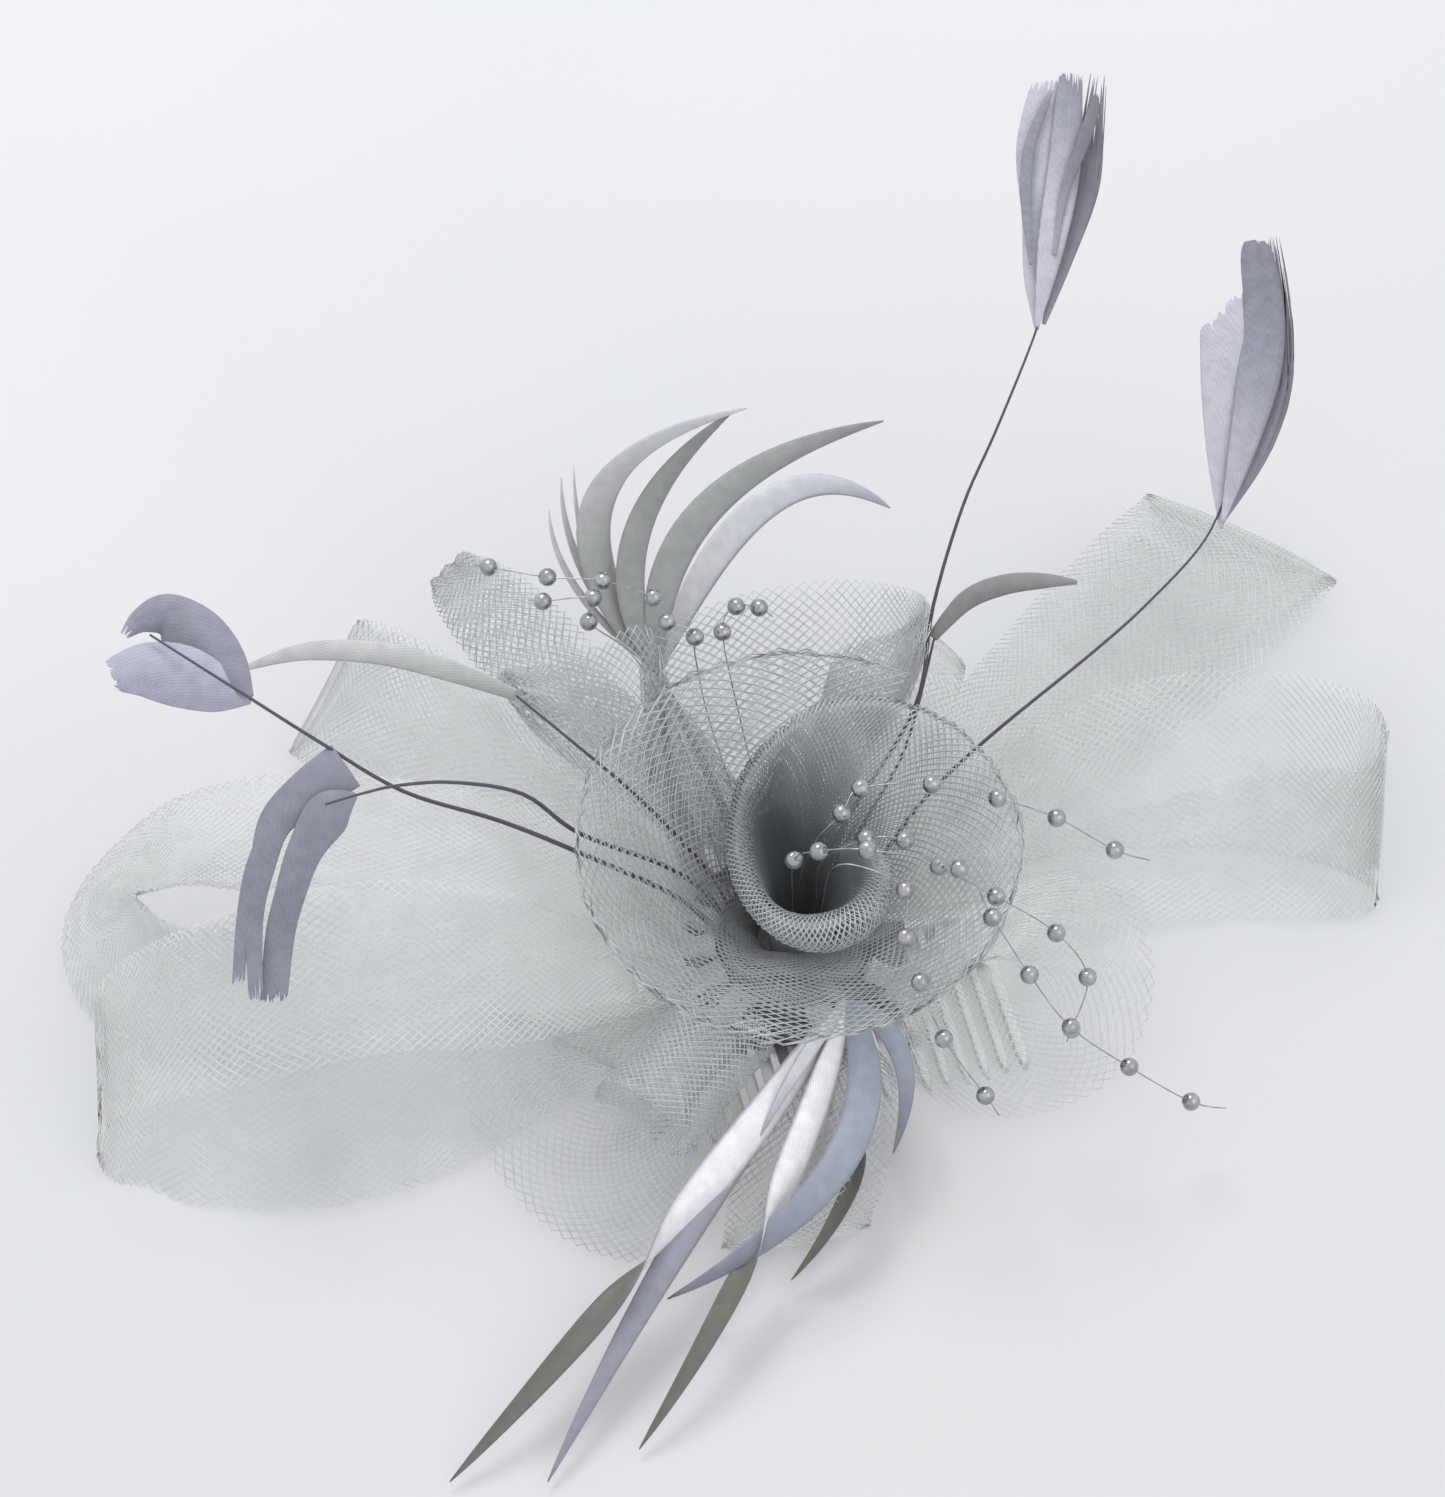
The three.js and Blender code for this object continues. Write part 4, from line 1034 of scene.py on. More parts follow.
@dataclass
class Comb:
    """The clear side comb, in millimetres. It lies flat on its teeth.

    Attributes:
        tip: length of a tooth's pointed end.
        tip_size: width and thickness of its very end, as shares.
        tip_height: height of its very end, as a share of the thickness.
        right, back: where the spine's middle lies.
        turn: how far the comb is turned, in degrees.
        groove_in: distance of the groove from the spine's edge.
        smooth: sharper edges than this stay sharp, in degrees.
    """

    width: float = 80.0
    spine_depth: float = 6.0
    spine_thick: float = SPINE_THICK
    tooth_length: float = 38.0
    tooth_width: float = 1.7
    outer_width: float = 2.2
    tooth_thick: float = 2.2
    pitch: float = 4.4
    tip: float = 3.0
    tip_size: tuple[float, float] = (0.4, 0.6)
    tip_height: float = 0.4
    right: float = 3.5
    back: float = 2.0
    turn: float = 15.0
    edge: float = 0.35
    spine_edge: float = 0.5
    groove_in: float = 1.4
    groove_deep: float = 0.4
    smooth: float = 35.0
    finish: ClearAcetate = ClearAcetate()

    def spine(self) -> bpy.types.Object:
        """Model the spine: a long block with its edges rounded and a shallow groove on top.

        Returns:
            The spine.
        """
        deselect()
        bpy.ops.mesh.primitive_cube_add(size=MM, location=(0, 0, self.spine_thick / 2 * MM))
        spine = bpy.context.object
        spine.scale = (self.width, self.spine_depth, self.spine_thick)
        settle(spine)
        choose_faces(spine, lambda face: face.normal.z > 0.9)
        bpy.ops.mesh.inset(thickness=self.groove_in * MM)
        bpy.ops.transform.translate(value=(0, 0, -self.groove_deep * MM))
        bpy.ops.object.mode_set(mode="OBJECT")
        round_edges(spine, self.spine_edge, 3)
        return spine

    def tooth(self, wide: float) -> bpy.types.Object:
        """Model one tooth that ends in a blunt point.

        Args:
            wide: its width.

        Returns:
            The tooth, with its root inside the spine.
        """
        deselect()
        root = self.spine_depth / 4
        long = self.tooth_length + self.spine_depth / 2 - root - self.tip
        place = (0, (-root - long / 2) * MM, self.tooth_thick / 2 * MM)
        bpy.ops.mesh.primitive_cube_add(size=MM, location=place)
        tooth = bpy.context.object
        tooth.scale = (wide, long, self.tooth_thick)
        settle(tooth)
        choose_faces(tooth, lambda face: face.normal.y < -0.9)
        bpy.ops.mesh.extrude_region_move(TRANSFORM_OT_translate={"value": (0, -self.tip * MM, 0)})
        end = -(self.tooth_length + self.spine_depth / 2) * MM
        middle = (0, end, self.tooth_thick * self.tip_height * MM)
        wide_share, thick_share = self.tip_size
        bpy.ops.transform.resize(value=(wide_share, 1, thick_share), center_override=middle)
        bpy.ops.object.mode_set(mode="OBJECT")
        round_edges(tooth, self.edge, 2)
        return tooth

    def build(self) -> None:
        """Model the comb as one clear body."""
        count = int((self.width - self.tooth_width) / self.pitch) + 1
        first = -(count - 1) * self.pitch / 2
        teeth = []
        for k in range(count):
            outer = k in (0, count - 1)
            wide = self.outer_width if outer else self.tooth_width
            tooth = self.tooth(wide)
            limit = (self.width - wide) / 2
            tooth.location.x = max(min(first + k * self.pitch, limit), -limit) * MM
            settle(tooth)
            teeth.append(tooth)
        teeth = join(teeth, "comb_teeth")
        comb = self.spine()
        union = comb.modifiers.new("teeth", "BOOLEAN")
        union.operation, union.object, union.solver = "UNION", teeth, "EXACT"
        apply_modifiers(comb)
        bpy.data.objects.remove(teeth)
        comb.name = comb.data.name = "comb_clear"
        comb.rotation_euler.z = math.radians(self.turn)
        comb.location = (self.right * MM, self.back * MM, 0)
        settle(comb)
        bpy.ops.object.shade_smooth_by_angle(angle=math.radians(self.smooth))
        dress(comb, self.finish.material(), "clear", "comb")


@dataclass
class FeltBase:
    """The felt disc that everything is stitched to, in millimetres.

    Attributes:
        base: height of its underside.
        press_in: distance of the pressed ring from its edge.
        stitch_in: distance of the stitches from its edge.
        stitch_at: where along its pitch a stitch has points.
        stitch_lift: their heights above the underside.
        smooth: sharper edges than this stay sharp, in degrees.
    """

    radius: float = DISC_RADIUS
    thick: float = DISC_THICK
    base: float = SPINE_THICK + GAP
    edge: float = 0.5
    press_in: float = 1.6
    press_wide: float = 0.5
    press_deep: float = 0.15
    stitches: int = 26
    stitch_in: float = 1.2
    stitch_radius: float = 0.16
    stitch_at: tuple[float, ...] = (0.2, 0.5, 0.8)
    stitch_lift: tuple[float, ...] = (0.37, -0.1, 0.37)
    smooth: float = 40.0
    finish: WoolFelt = WoolFelt()

    def build(self) -> None:
        """Model the disc with a rounded rim and a ring of stitches round its edge."""
        deselect()
        middle = (self.base + self.thick / 2) * MM
        bpy.ops.mesh.primitive_cylinder_add(
            vertices=96, radius=self.radius * MM, depth=self.thick * MM, location=(0, 0, middle)
        )
        disc = bpy.context.object
        settle(disc)
        choose_faces(disc, lambda face: abs(face.normal.z) > 0.9)
        bpy.ops.mesh.inset(thickness=self.press_in * MM)
        bpy.ops.mesh.inset(thickness=self.press_wide * MM, depth=-self.press_deep * MM)
        bpy.ops.object.mode_set(mode="OBJECT")
        round_edges(disc, self.edge, 3)
        parts = [disc]
        for k in range(self.stitches):
            angles = 360 / self.stitches * (k + np.array(self.stitch_at))
            points = heading(angles, 0 * angles) * (self.radius - self.stitch_in)
            points[:, 2] = self.base + np.array(self.stitch_lift)
            parts.append(sweep("stitch", points, np.full(len(points), self.stitch_radius), 6))
        disc = join(parts, "felt_base")
        pick(disc)
        bpy.ops.object.shade_smooth_by_angle(angle=math.radians(self.smooth))
        dress(disc, self.finish.material(), "felt", "base_disc")


# Pearl strings


STRINGS = (
    ("beads_front_a", 2, 7, (-1, 0), (
        (0, -4, 34), (3, -5, 56), (9, -2, 64), (13, 3, 66), (28, 4, 66),
        (42, 3, 62), (55, 3, 54), (68, 1, 44), (76, 2, 38),
    )),
    ("beads_front_b", 2, 8, (3, -1), (
        (4, -6, 34), (5, -9, 56), (14, -10, 67), (22, -11, 68), (29, -16, 66),
        (41, -21, 62), (54, -24, 52), (61, -29, 42), (58, -36, 32), (57, -38, 30),
    )),
    ("beads_front_c", 1, 9, (-1, -4), (
        (-1, -9, 38), (-1, -11, 60), (4, -13, 67), (14, -15, 71), (33, -19, 70),
        (40, -26, 62), (48, -34, 52), (57, -41, 42), (70, -44, 30), (84, -46, 18), (92, -45, 13),
    )),
    ("beads_front_d", 3, 7, (3, -4), (
        (5, -10, 36), (7, -13, 60), (14, -15, 63.5), (22, -20, 63), (22, -29, 59),
        (25, -38, 56), (30, -47, 48), (39, -54, 36), (42, -56, 31),
    )),
    ("beads_back_a", 3, 8, (-6, 14.3), (
        (-12, 24, 22), (-19, 38, 38), (-22, 47, 50), (-22, 47, 57), (-28, 49, 60),
        (-31, 54, 62), (-42, 57, 64), (-54, 58, 64), (-67, 62, 62), (-70, 63, 61),
    )),
    ("beads_back_b", 3, 5, (-13.4, 7.8), (
        (-19, 18, 24), (-25, 33, 37), (-35, 46, 50), (-45, 49, 60), (-44, 52.5, 64),
        (-55, 53, 62), (-58, 54, 61),
    )),
    ("beads_back_c", 2, 4, (-2.5, 15.3), (
        (-7, 24, 22), (-12, 38, 37), (-16, 51, 53), (-13, 55, 57), (-8, 56, 55),
        (-5, 55, 53),
    )),
)


@dataclass
class PearlString:
    """A string of pearls on clear line, in millimetres.

    Attributes:
        name: the CAD node that it stands for.
        first: index of the first route point with a pearl.
        last: index of the last.
        foot: where the line leaves the disc.
        route: the points after the foot.
        pearl: radius of a pearl.
        line: radius of the line.
        dimple: how deep the dimples at the hole are.
        hole: share of the radius past which a pearl is dimpled.
        ahead: how far ahead a pearl looks to turn along the line, in spans of the route.
    """

    name: str
    first: int
    last: int
    foot: tuple[float, float]
    route: tuple[tuple[float, float, float], ...]
    pearl: float = 2.0
    line: float = 0.16
    dimple: float = 0.35
    hole: float = 0.94
    ahead: float = 0.05

    def bead(self, place: Vector, ahead: Vector) -> bpy.types.Object:
        """Model one pearl with a dimple at each end of its hole.

        Args:
            place: its centre in metres.
            ahead: the line's direction.

        Returns:
            The pearl.
        """
        deselect()
        bpy.ops.mesh.primitive_uv_sphere_add(segments=24, ring_count=14, radius=self.pearl * MM)
        bead = bpy.context.object
        for way in (1, -1):
            choose_faces(bead, lambda face: way * face.center.z > self.hole * self.pearl * MM)
            bpy.ops.transform.translate(value=(0, 0, -way * self.dimple * MM))
            bpy.ops.object.mode_set(mode="OBJECT")
        bpy.ops.object.shade_smooth()
        aim(bead, ahead, "Z")
        bead.location = place
        settle(bead)
        return bead

    def build(self, material: bpy.types.Material) -> None:
        """Thread the pearls on their line.

        Args:
            material: the pearls' material.
        """
        knots = np.array([(*self.foot, DISC_TOP + GAP), *self.route], float)
        spans = len(knots) - 1
        line = through(knots, np.linspace(0, 1, 8 * spans + 1))
        parts = [sweep("line", line, np.full(len(line), self.line), 8)]
        for index in range(self.first + 1, self.last + 2):
            near = through(knots, np.array([(index + self.ahead) / spans]))[0]
            parts.append(self.bead(Vector(knots[index]) * MM, Vector(near - knots[index])))
        string = join(parts, self.name.replace("beads", "pearls"))
        dress(string, material, "pearl", self.name)


# Feathers


# Where the feathers' feet stand on the disc, and how tall they are, in millimetres.
STUB_RING = (FLOWER_FOOT + ROOT_RING - ROOT_TAB) / 2
STUB_RISE = 3.0

# The way that biots face. Vanes face the camera.
BIOT_FACE = (0, -0.5, 0.87)


class Tint(Enum):
    """Colours of dyed feather."""

    PALE = "#f4f5f7"
    SILVER = "#dfe1e5"
    LILAC = "#bcbbc6"
    BLUE = "#9ba3b1"
    MIST = "#b0b1c2"
    HAZE = "#8d8e9b"
    GREY = "#9d9fa8"
    ASH = "#a9aca9"
    FOG = "#c3c5c4"
    MOSS = "#8b8e8b"
    DUSK = "#7b7c86"
    OLIVE = "#6b6e66"
    SHAFT = "#50515a"


def paint(piece: bpy.types.Object, colours: np.ndarray) -> None:
    """Give each vertex its linear colour, which the feather's finish reads."""
    layer = piece.data.attributes.new("tint", "FLOAT_COLOR", "POINT")
    layer.data.foreach_set("color", colours.ravel())


@dataclass
class Blade:
    """A blade of barbs over a grid of points: along runs to the tip and across runs from edge to edge.

    Attributes:
        centre: its middle line in millimetres.
        spread: half its width as a vector at each point of the line.
        cup: how far its middle is lifted, as a share of half its width.
        top: tints at the root, the middle and the tip of the upper face.
        under: tint of the underside.
        edge: tint of the painted shade along the right edge.
        thick: thickness in millimetres.
        columns: points across.
        torn: how much shorter a column may be, as a share, so that the end is ragged.
        bevel: how much shorter its left edge is, as a share.
        seed: start of the random draws of the torn end.
        shade_from: where across the blade the painted shade along the right edge begins, from -1 to 1.
        shade_share: how strong that painted shade is.
    """

    centre: np.ndarray
    spread: np.ndarray
    cup: float
    top: tuple[Tint, Tint, Tint]
    under: Tint
    edge: Tint
    thick: float = 0.22
    columns: int = 9
    torn: float = 0.0
    bevel: float = 0.0
    seed: int = 0
    shade_from: float = 0.72
    shade_share: float = 0.8

    def points(self, across: np.ndarray) -> np.ndarray:
        """Give the grid of points, with its middle lifted and its end torn.

        Args:
            across: places of the columns, from -1 to 1.

        Returns:
            A point for each row and column, in millimetres.
        """
        up = unit(np.cross(self.spread, np.gradient(self.centre, axis=0)))
        half = np.linalg.norm(self.spread, axis=1)
        points = self.centre[:, None] + self.spread[:, None] * across[None, :, None]
        points = points + (up * (self.cup * half)[:, None])[:, None] * (1 - across**2)[None, :, None]
        if self.torn:
            rng, whole = random.Random(self.seed), np.arange(len(points))
            for k in range(self.columns):
                short = self.torn * rng.random() ** 2 + self.bevel * (1 - across[k]) / 2
                for axis in range(3):
                    points[:, k, axis] = np.interp(whole * (1 - short), whole, points[:, k, axis])
        return points

    def tints(self, across: np.ndarray) -> np.ndarray:
        """Give the colours of the upper face, then those of the underside.

        Args:
            across: places of the columns, from -1 to 1.

        Returns:
            One linear colour for each vertex.
        """
        root, middle, tip = (np.array(linear(tint.value)) for tint in self.top)
        share = np.linspace(0, 2, len(self.centre))[:, None]
        low = root * (1 - share) + middle * share
        high = middle * (2 - share) + tip * (share - 1)
        face = np.where(share < 1, low, high)[:, None]
        # Painted shade: towards the right edge, the upper face blends into the edge tint.
        rim = np.clip((across - self.shade_from) / (1 - self.shade_from), 0, 1)[None, :, None]
        rim = rim * self.shade_share
        upper = face * (1 - rim) + np.array(linear(self.edge.value)) * rim
        lower = np.broadcast_to(np.array(linear(self.under.value)), upper.shape)
        return np.concatenate([upper.reshape(-1, 4), lower.reshape(-1, 4)])

    def build(self, name: str) -> bpy.types.Object:
        """Model the blade from a grid, with thickness, tints and a UV map in millimetres.

        Args:
            name: the object's name.

        Returns:
            The blade.
        """
        rows = len(self.centre)
        deselect()
        bpy.ops.mesh.primitive_grid_add(x_subdivisions=self.columns - 1, y_subdivisions=rows - 1, size=1)
        blade = bpy.context.object
        across = np.linspace(-1, 1, self.columns)
        blade.data.vertices.foreach_set("co", (self.points(across) * MM).ravel())
        solid = blade.modifiers.new("thick", "SOLIDIFY")
        solid.thickness, solid.offset = self.thick * MM, 0
        apply_modifiers(blade)
        mesh = blade.data
        lay = np.zeros((rows, self.columns, 2))
        lay[..., 0] = across * np.linalg.norm(self.spread, axis=1)[:, None]
        lay[..., 1] = distances(self.centre)[:, None]
        corner = np.zeros(len(mesh.loops), int)
        mesh.loops.foreach_get("vertex_index", corner)
        lay = lay.reshape(-1, 2)
        mesh.uv_layers[0].data.foreach_set("uv", lay[corner % len(lay)].ravel())
        paint(blade, self.tints(across))
        mesh.shade_smooth()
        blade.name = name
        return blade

def shaft(name: str, points: np.ndarray, thick: float, tip: float, tint: Tint) -> bpy.types.Object:
    """Model a quill shaft that tapers to its tip.

    Args:
        name: the object's name.
        points: its route in millimetres.
        thick: radius at the root.
        tip: radius at the tip.
        tint: its colour.

    Returns:
        The shaft.
    """
    line = through(points, np.linspace(0, 1, 6 * (len(points) - 1) + 1))
    rod = sweep(name, line, np.linspace(thick, tip, len(line)), 8)
    paint(rod, np.tile(linear(tint.value), len(rod.data.vertices)))
    if not rod.data.uv_layers:
        rod.data.uv_layers.new(name="UVMap")
    return rod


# Tints at the root, the middle and the tip.
WHITE = (Tint.PALE, Tint.PALE, Tint.SILVER)
BRIGHT = (Tint.SILVER, Tint.SILVER, Tint.GREY)
GREYING = (Tint.ASH, Tint.FOG, Tint.SILVER)
MISTY = (Tint.MIST,) * 3
HAZY = (Tint.HAZE,) * 3
ASHEN = (Tint.FOG, Tint.ASH, Tint.MOSS)
SMOKY = (Tint.SILVER, Tint.GREY, Tint.HAZE)
BLUEISH = (Tint.BLUE, Tint.BLUE, Tint.DUSK)
LILAC = (Tint.LILAC,) * 3
DIM = (Tint.LILAC, Tint.HAZE, Tint.DUSK)
DARK = (Tint.GREY, Tint.DUSK, Tint.DUSK)
PLUMY = (Tint.FOG, Tint.FOG, Tint.SILVER)
SOFT = (Tint.LILAC, Tint.LILAC, Tint.HAZE)
MOSSY = (Tint.MOSS,) * 3


@dataclass(frozen=True)
class Biot:
    """One biot of a fan. bend and tip are shares of the fan's reach and rise, and the rest is its look.

    Attributes:
        bend: the point that pulls its middle.
        tip: its end.
        wide: its width as a share.
        lean: turn about its own line at the root, in degrees.
        twist: further turn from root to tip, in degrees.
        turn_at: where along it the twist happens.
        top: tints of the upper face.
        under: tint of the underside.
    """

    bend: tuple[float, float, float]
    tip: tuple[float, float, float]
    wide: float
    lean: float
    twist: float
    turn_at: float
    top: tuple[Tint, Tint, Tint]
    under: Tint


@dataclass
class Plume:
    """Something feathered that stands on the disc.

    Attributes:
        name: the CAD node that it stands for.
        root: angle of its foot round the disc in degrees.
        reach: its reach as a share of the plumes'.
        rise: its height as a share of the plumes'.
    """

    name: str
    root: float
    reach: float
    rise: float

    def place(self, point: tuple[float, ...]) -> np.ndarray:
        """Turn shares into millimetres."""
        reach = self.reach * PLUME_REACH
        return np.array(point[:3]) * (reach, reach, self.rise * PLUME_RISE)

    def stalk(self, route: tuple[tuple[float, float, float], ...]) -> np.ndarray:
        """Lead a stalk up from its foot on the disc.

        Args:
            route: points as shares of reach and rise.

        Returns:
            Points in millimetres, the upright foot first.
        """
        x, y, _ = heading(self.root, 0) * STUB_RING
        foot = [(x, y, DISC_TOP + GAP + rise) for rise in (0, STUB_RISE)]
        return np.array([*foot, *(self.place(point) for point in route)])


@dataclass
class Fan(Plume):
    """A fan of biots bound on a bundle.

    Attributes:
        bundle: radius of the bundle in millimetres.
        route: points of the bundle as shares of reach and rise.
        biots: its biots.
        width: width of a biot in millimetres.
        cup: how far a biot's middle is lifted, as a share of half its width.
        turning: how sharply a biot twists.
        foot: a biot's width at its root, as a share.
        least: its least width, as a share.
    """

    bundle: float
    route: tuple[tuple[float, float, float], ...]
    biots: tuple[Biot, ...]
    width: float = 6.0
    rows: int = 40
    cup: float = 0.25
    turning: float = 16.0
    foot: float = 0.3
    least: float = 0.03
    def blade(self, biot: Biot) -> bpy.types.Object:
        """Model one biot along its bent line.

        Args:
            biot: its points and look.

        Returns:
            The blade.
        """
        start, bend, tip = (self.place(p) for p in (self.route[-1], biot.bend, biot.tip))
        u = np.linspace(0, 1, self.rows)[:, None]
        centre = (1 - u) ** 2 * start + 2 * u * (1 - u) * bend + u**2 * tip
        ahead = unit(2 * (1 - u) * (bend - start) + 2 * u * (tip - bend))
        over = unit(np.cross(ahead, BIOT_FACE))
        up = np.cross(over, ahead)
        turned = 1 / (1 + np.exp(-(u - biot.turn_at) * self.turning))
        angle = np.radians(biot.lean + biot.twist * turned)
        swell = np.sin(math.pi * np.clip(u, 0.001, 0.999) ** 0.7) ** 0.7
        swell = np.maximum(np.maximum(self.foot * (1 - u), swell), self.least)
        half = swell * biot.wide * self.width / 2
        spread = (over * np.cos(angle) + up * np.sin(angle)) * half
        # Tint.GREY is the painted shade along each biot's right edge.
        return Blade(centre, spread, self.cup, biot.top, biot.under, Tint.GREY).build("biot")

    def build(self, material: bpy.types.Material) -> None:
        """Bind the biots on their bundle.

        Args:
            material: the feather's material.
        """
        parts = [self.blade(biot) for biot in self.biots]
        parts.append(shaft("bundle", self.stalk(self.route), self.bundle, self.bundle * 0.8, Tint.HAZE))
        dress(join(parts, f"goose_{self.name}"), material, "biot", self.name)


FANS = (
    Fan("biots_back", 134, 0.562, 0.852, 1.2, ((-0.19, 0.34, 0.2), (-0.34, 0.6, 0.36)), (
        Biot((-0.73, 0.87, 0.84), (-0.12, 0.92, 1), 1.35, -25, -30, 0.6, GREYING, Tint.OLIVE),
        Biot((-0.53, 0.77, 0.72), (-0.15, 0.93, 0.98), 1.1, -20, 0, 0.5, ASHEN, Tint.OLIVE),
        Biot((-0.38, 0.85, 0.82), (0.21, 0.95, 0.91), 1.25, -10, 0, 0.5, ASHEN, Tint.OLIVE),
        Biot((-0.09, 1.04, 0.8), (0.23, 0.83, 0.72), 1.15, 0, 0, 0.5, BRIGHT, Tint.OLIVE),
        Biot((-0.6, 0.7, 0.57), (-0.6, 0.83, 0.72), 0.3, -20, 0, 0.5, PLUMY, Tint.OLIVE),
        Biot((-0.58, 0.73, 0.59), (-0.57, 0.9, 0.76), 0.35, -20, 0, 0.5, PLUMY, Tint.OLIVE),
        Biot((-0.54, 0.68, 0.59), (-0.54, 0.92, 0.78), 0.3, -20, 0, 0.5, PLUMY, Tint.OLIVE),
    )),
    Fan("biots_front", 300, 0.906, 0.222, 1.4, ((0.065, -0.125, 0.55), (0.075, -0.15, 0.75)), (
        Biot((-0.18, -0.57, 1.1), (-0.5, -0.87, 0.08), 1.3, 0, 170, 0.54, WHITE, Tint.OLIVE),
        Biot((-0.145, -0.476, 1.02), (-0.36, -0.87, 0.08), 1.15, 0, 0, 0.5, SMOKY, Tint.OLIVE),
        Biot((-0.015, -0.54, 1.1), (-0.23, -0.82, 0.08), 1.1, 0, 170, 0.52, WHITE, Tint.OLIVE),
        Biot((0.18, -0.48, 1.35), (-0.19, -0.61, 0.42), 1.3, 0, 0, 0.5, BLUEISH, Tint.OLIVE),
        Biot((0.165, -0.4, 0.98), (-0.01, -0.56, 0.16), 0.95, 0, 150, 0.5, WHITE, Tint.OLIVE),
        Biot((0.2, -0.26, 1.27), (0.14, -0.39, 0.6), 0.75, 0, 0, 0.5, BLUEISH, Tint.GREY),
        Biot((0.005, -0.265, 1.06), (-0.055, -0.38, 0.83), 0.5, 0, 0, 0.5, BRIGHT, Tint.GREY),
    )),
)


@dataclass(frozen=True)
class Strip:
    """One strip of barbs of a vane, torn at its end.

    Attributes:
        rows: right and back as shares of the quill's reach, up as a share of its rise, and the width as
            a share of the vane's.
        top: tints at the root, the middle and the tip.
        torn: how much shorter a barb may be, as a share.
        columns: points across it.
        bevel: how much shorter its left edge is, as a share.
    """

    rows: tuple[tuple[float, float, float, float], ...]
    top: tuple[Tint, Tint, Tint]
    torn: float = 0.0
    columns: int = 27
    bevel: float = 0.0


@dataclass
class Quill(Plume):
    """A stripped quill that keeps a torn vane, or a single biot, at its tip.

    Attributes:
        stem: diameter of the shaft in millimetres.
        width: width of the vane in millimetres.
        route: points of the shaft as shares of reach and rise.
        strips: the strips of its vane.
        cup: how far a strip's middle is lifted, as a share of half its width.
        under: tint of the underside.
        seed: start of its random draws.
    """

    stem: float
    width: float
    route: tuple[tuple[float, float, float], ...]
    strips: tuple[Strip, ...]
    cup: float
    under: Tint
    seed: int
    thick: float = 0.14
    rows: int = 48
    def barbs(self, strip: Strip, rng: random.Random) -> bpy.types.Object:
        """Model one strip, with its face turned up and to the front.

        Args:
            strip: its rows and look.
            rng: the quill's random draws.

        Returns:
            The strip.
        """
        rows = np.array([(*self.place(row), row[3] * self.width) for row in strip.rows])
        values = through(rows, np.linspace(0, 1, self.rows))
        line, half = values[:, :3], values[:, 3:] / 2
        spread = unit(np.cross(np.gradient(line, axis=0), TO_CAMERA)) * half
        # The tip tint also serves as the painted shade along the strip's right edge.
        look = (self.cup, strip.top, self.under, strip.top[2])
        torn = (strip.columns, strip.torn, strip.bevel, rng.randrange(1000))
        return Blade(line, spread, *look, self.thick, *torn).build("barbs")

    def build(self, material: bpy.types.Material) -> None:
        """Model the quill.

        Args:
            material: the feather's material.
        """
        rng = random.Random(self.seed)
        parts = [self.barbs(strip, rng) for strip in self.strips]
        parts.append(shaft("shaft", self.stalk(self.route), self.stem / 2, self.stem / 6, Tint.SHAFT))
        dress(join(parts, f"feather_{self.name}"), material, "vane", self.name)


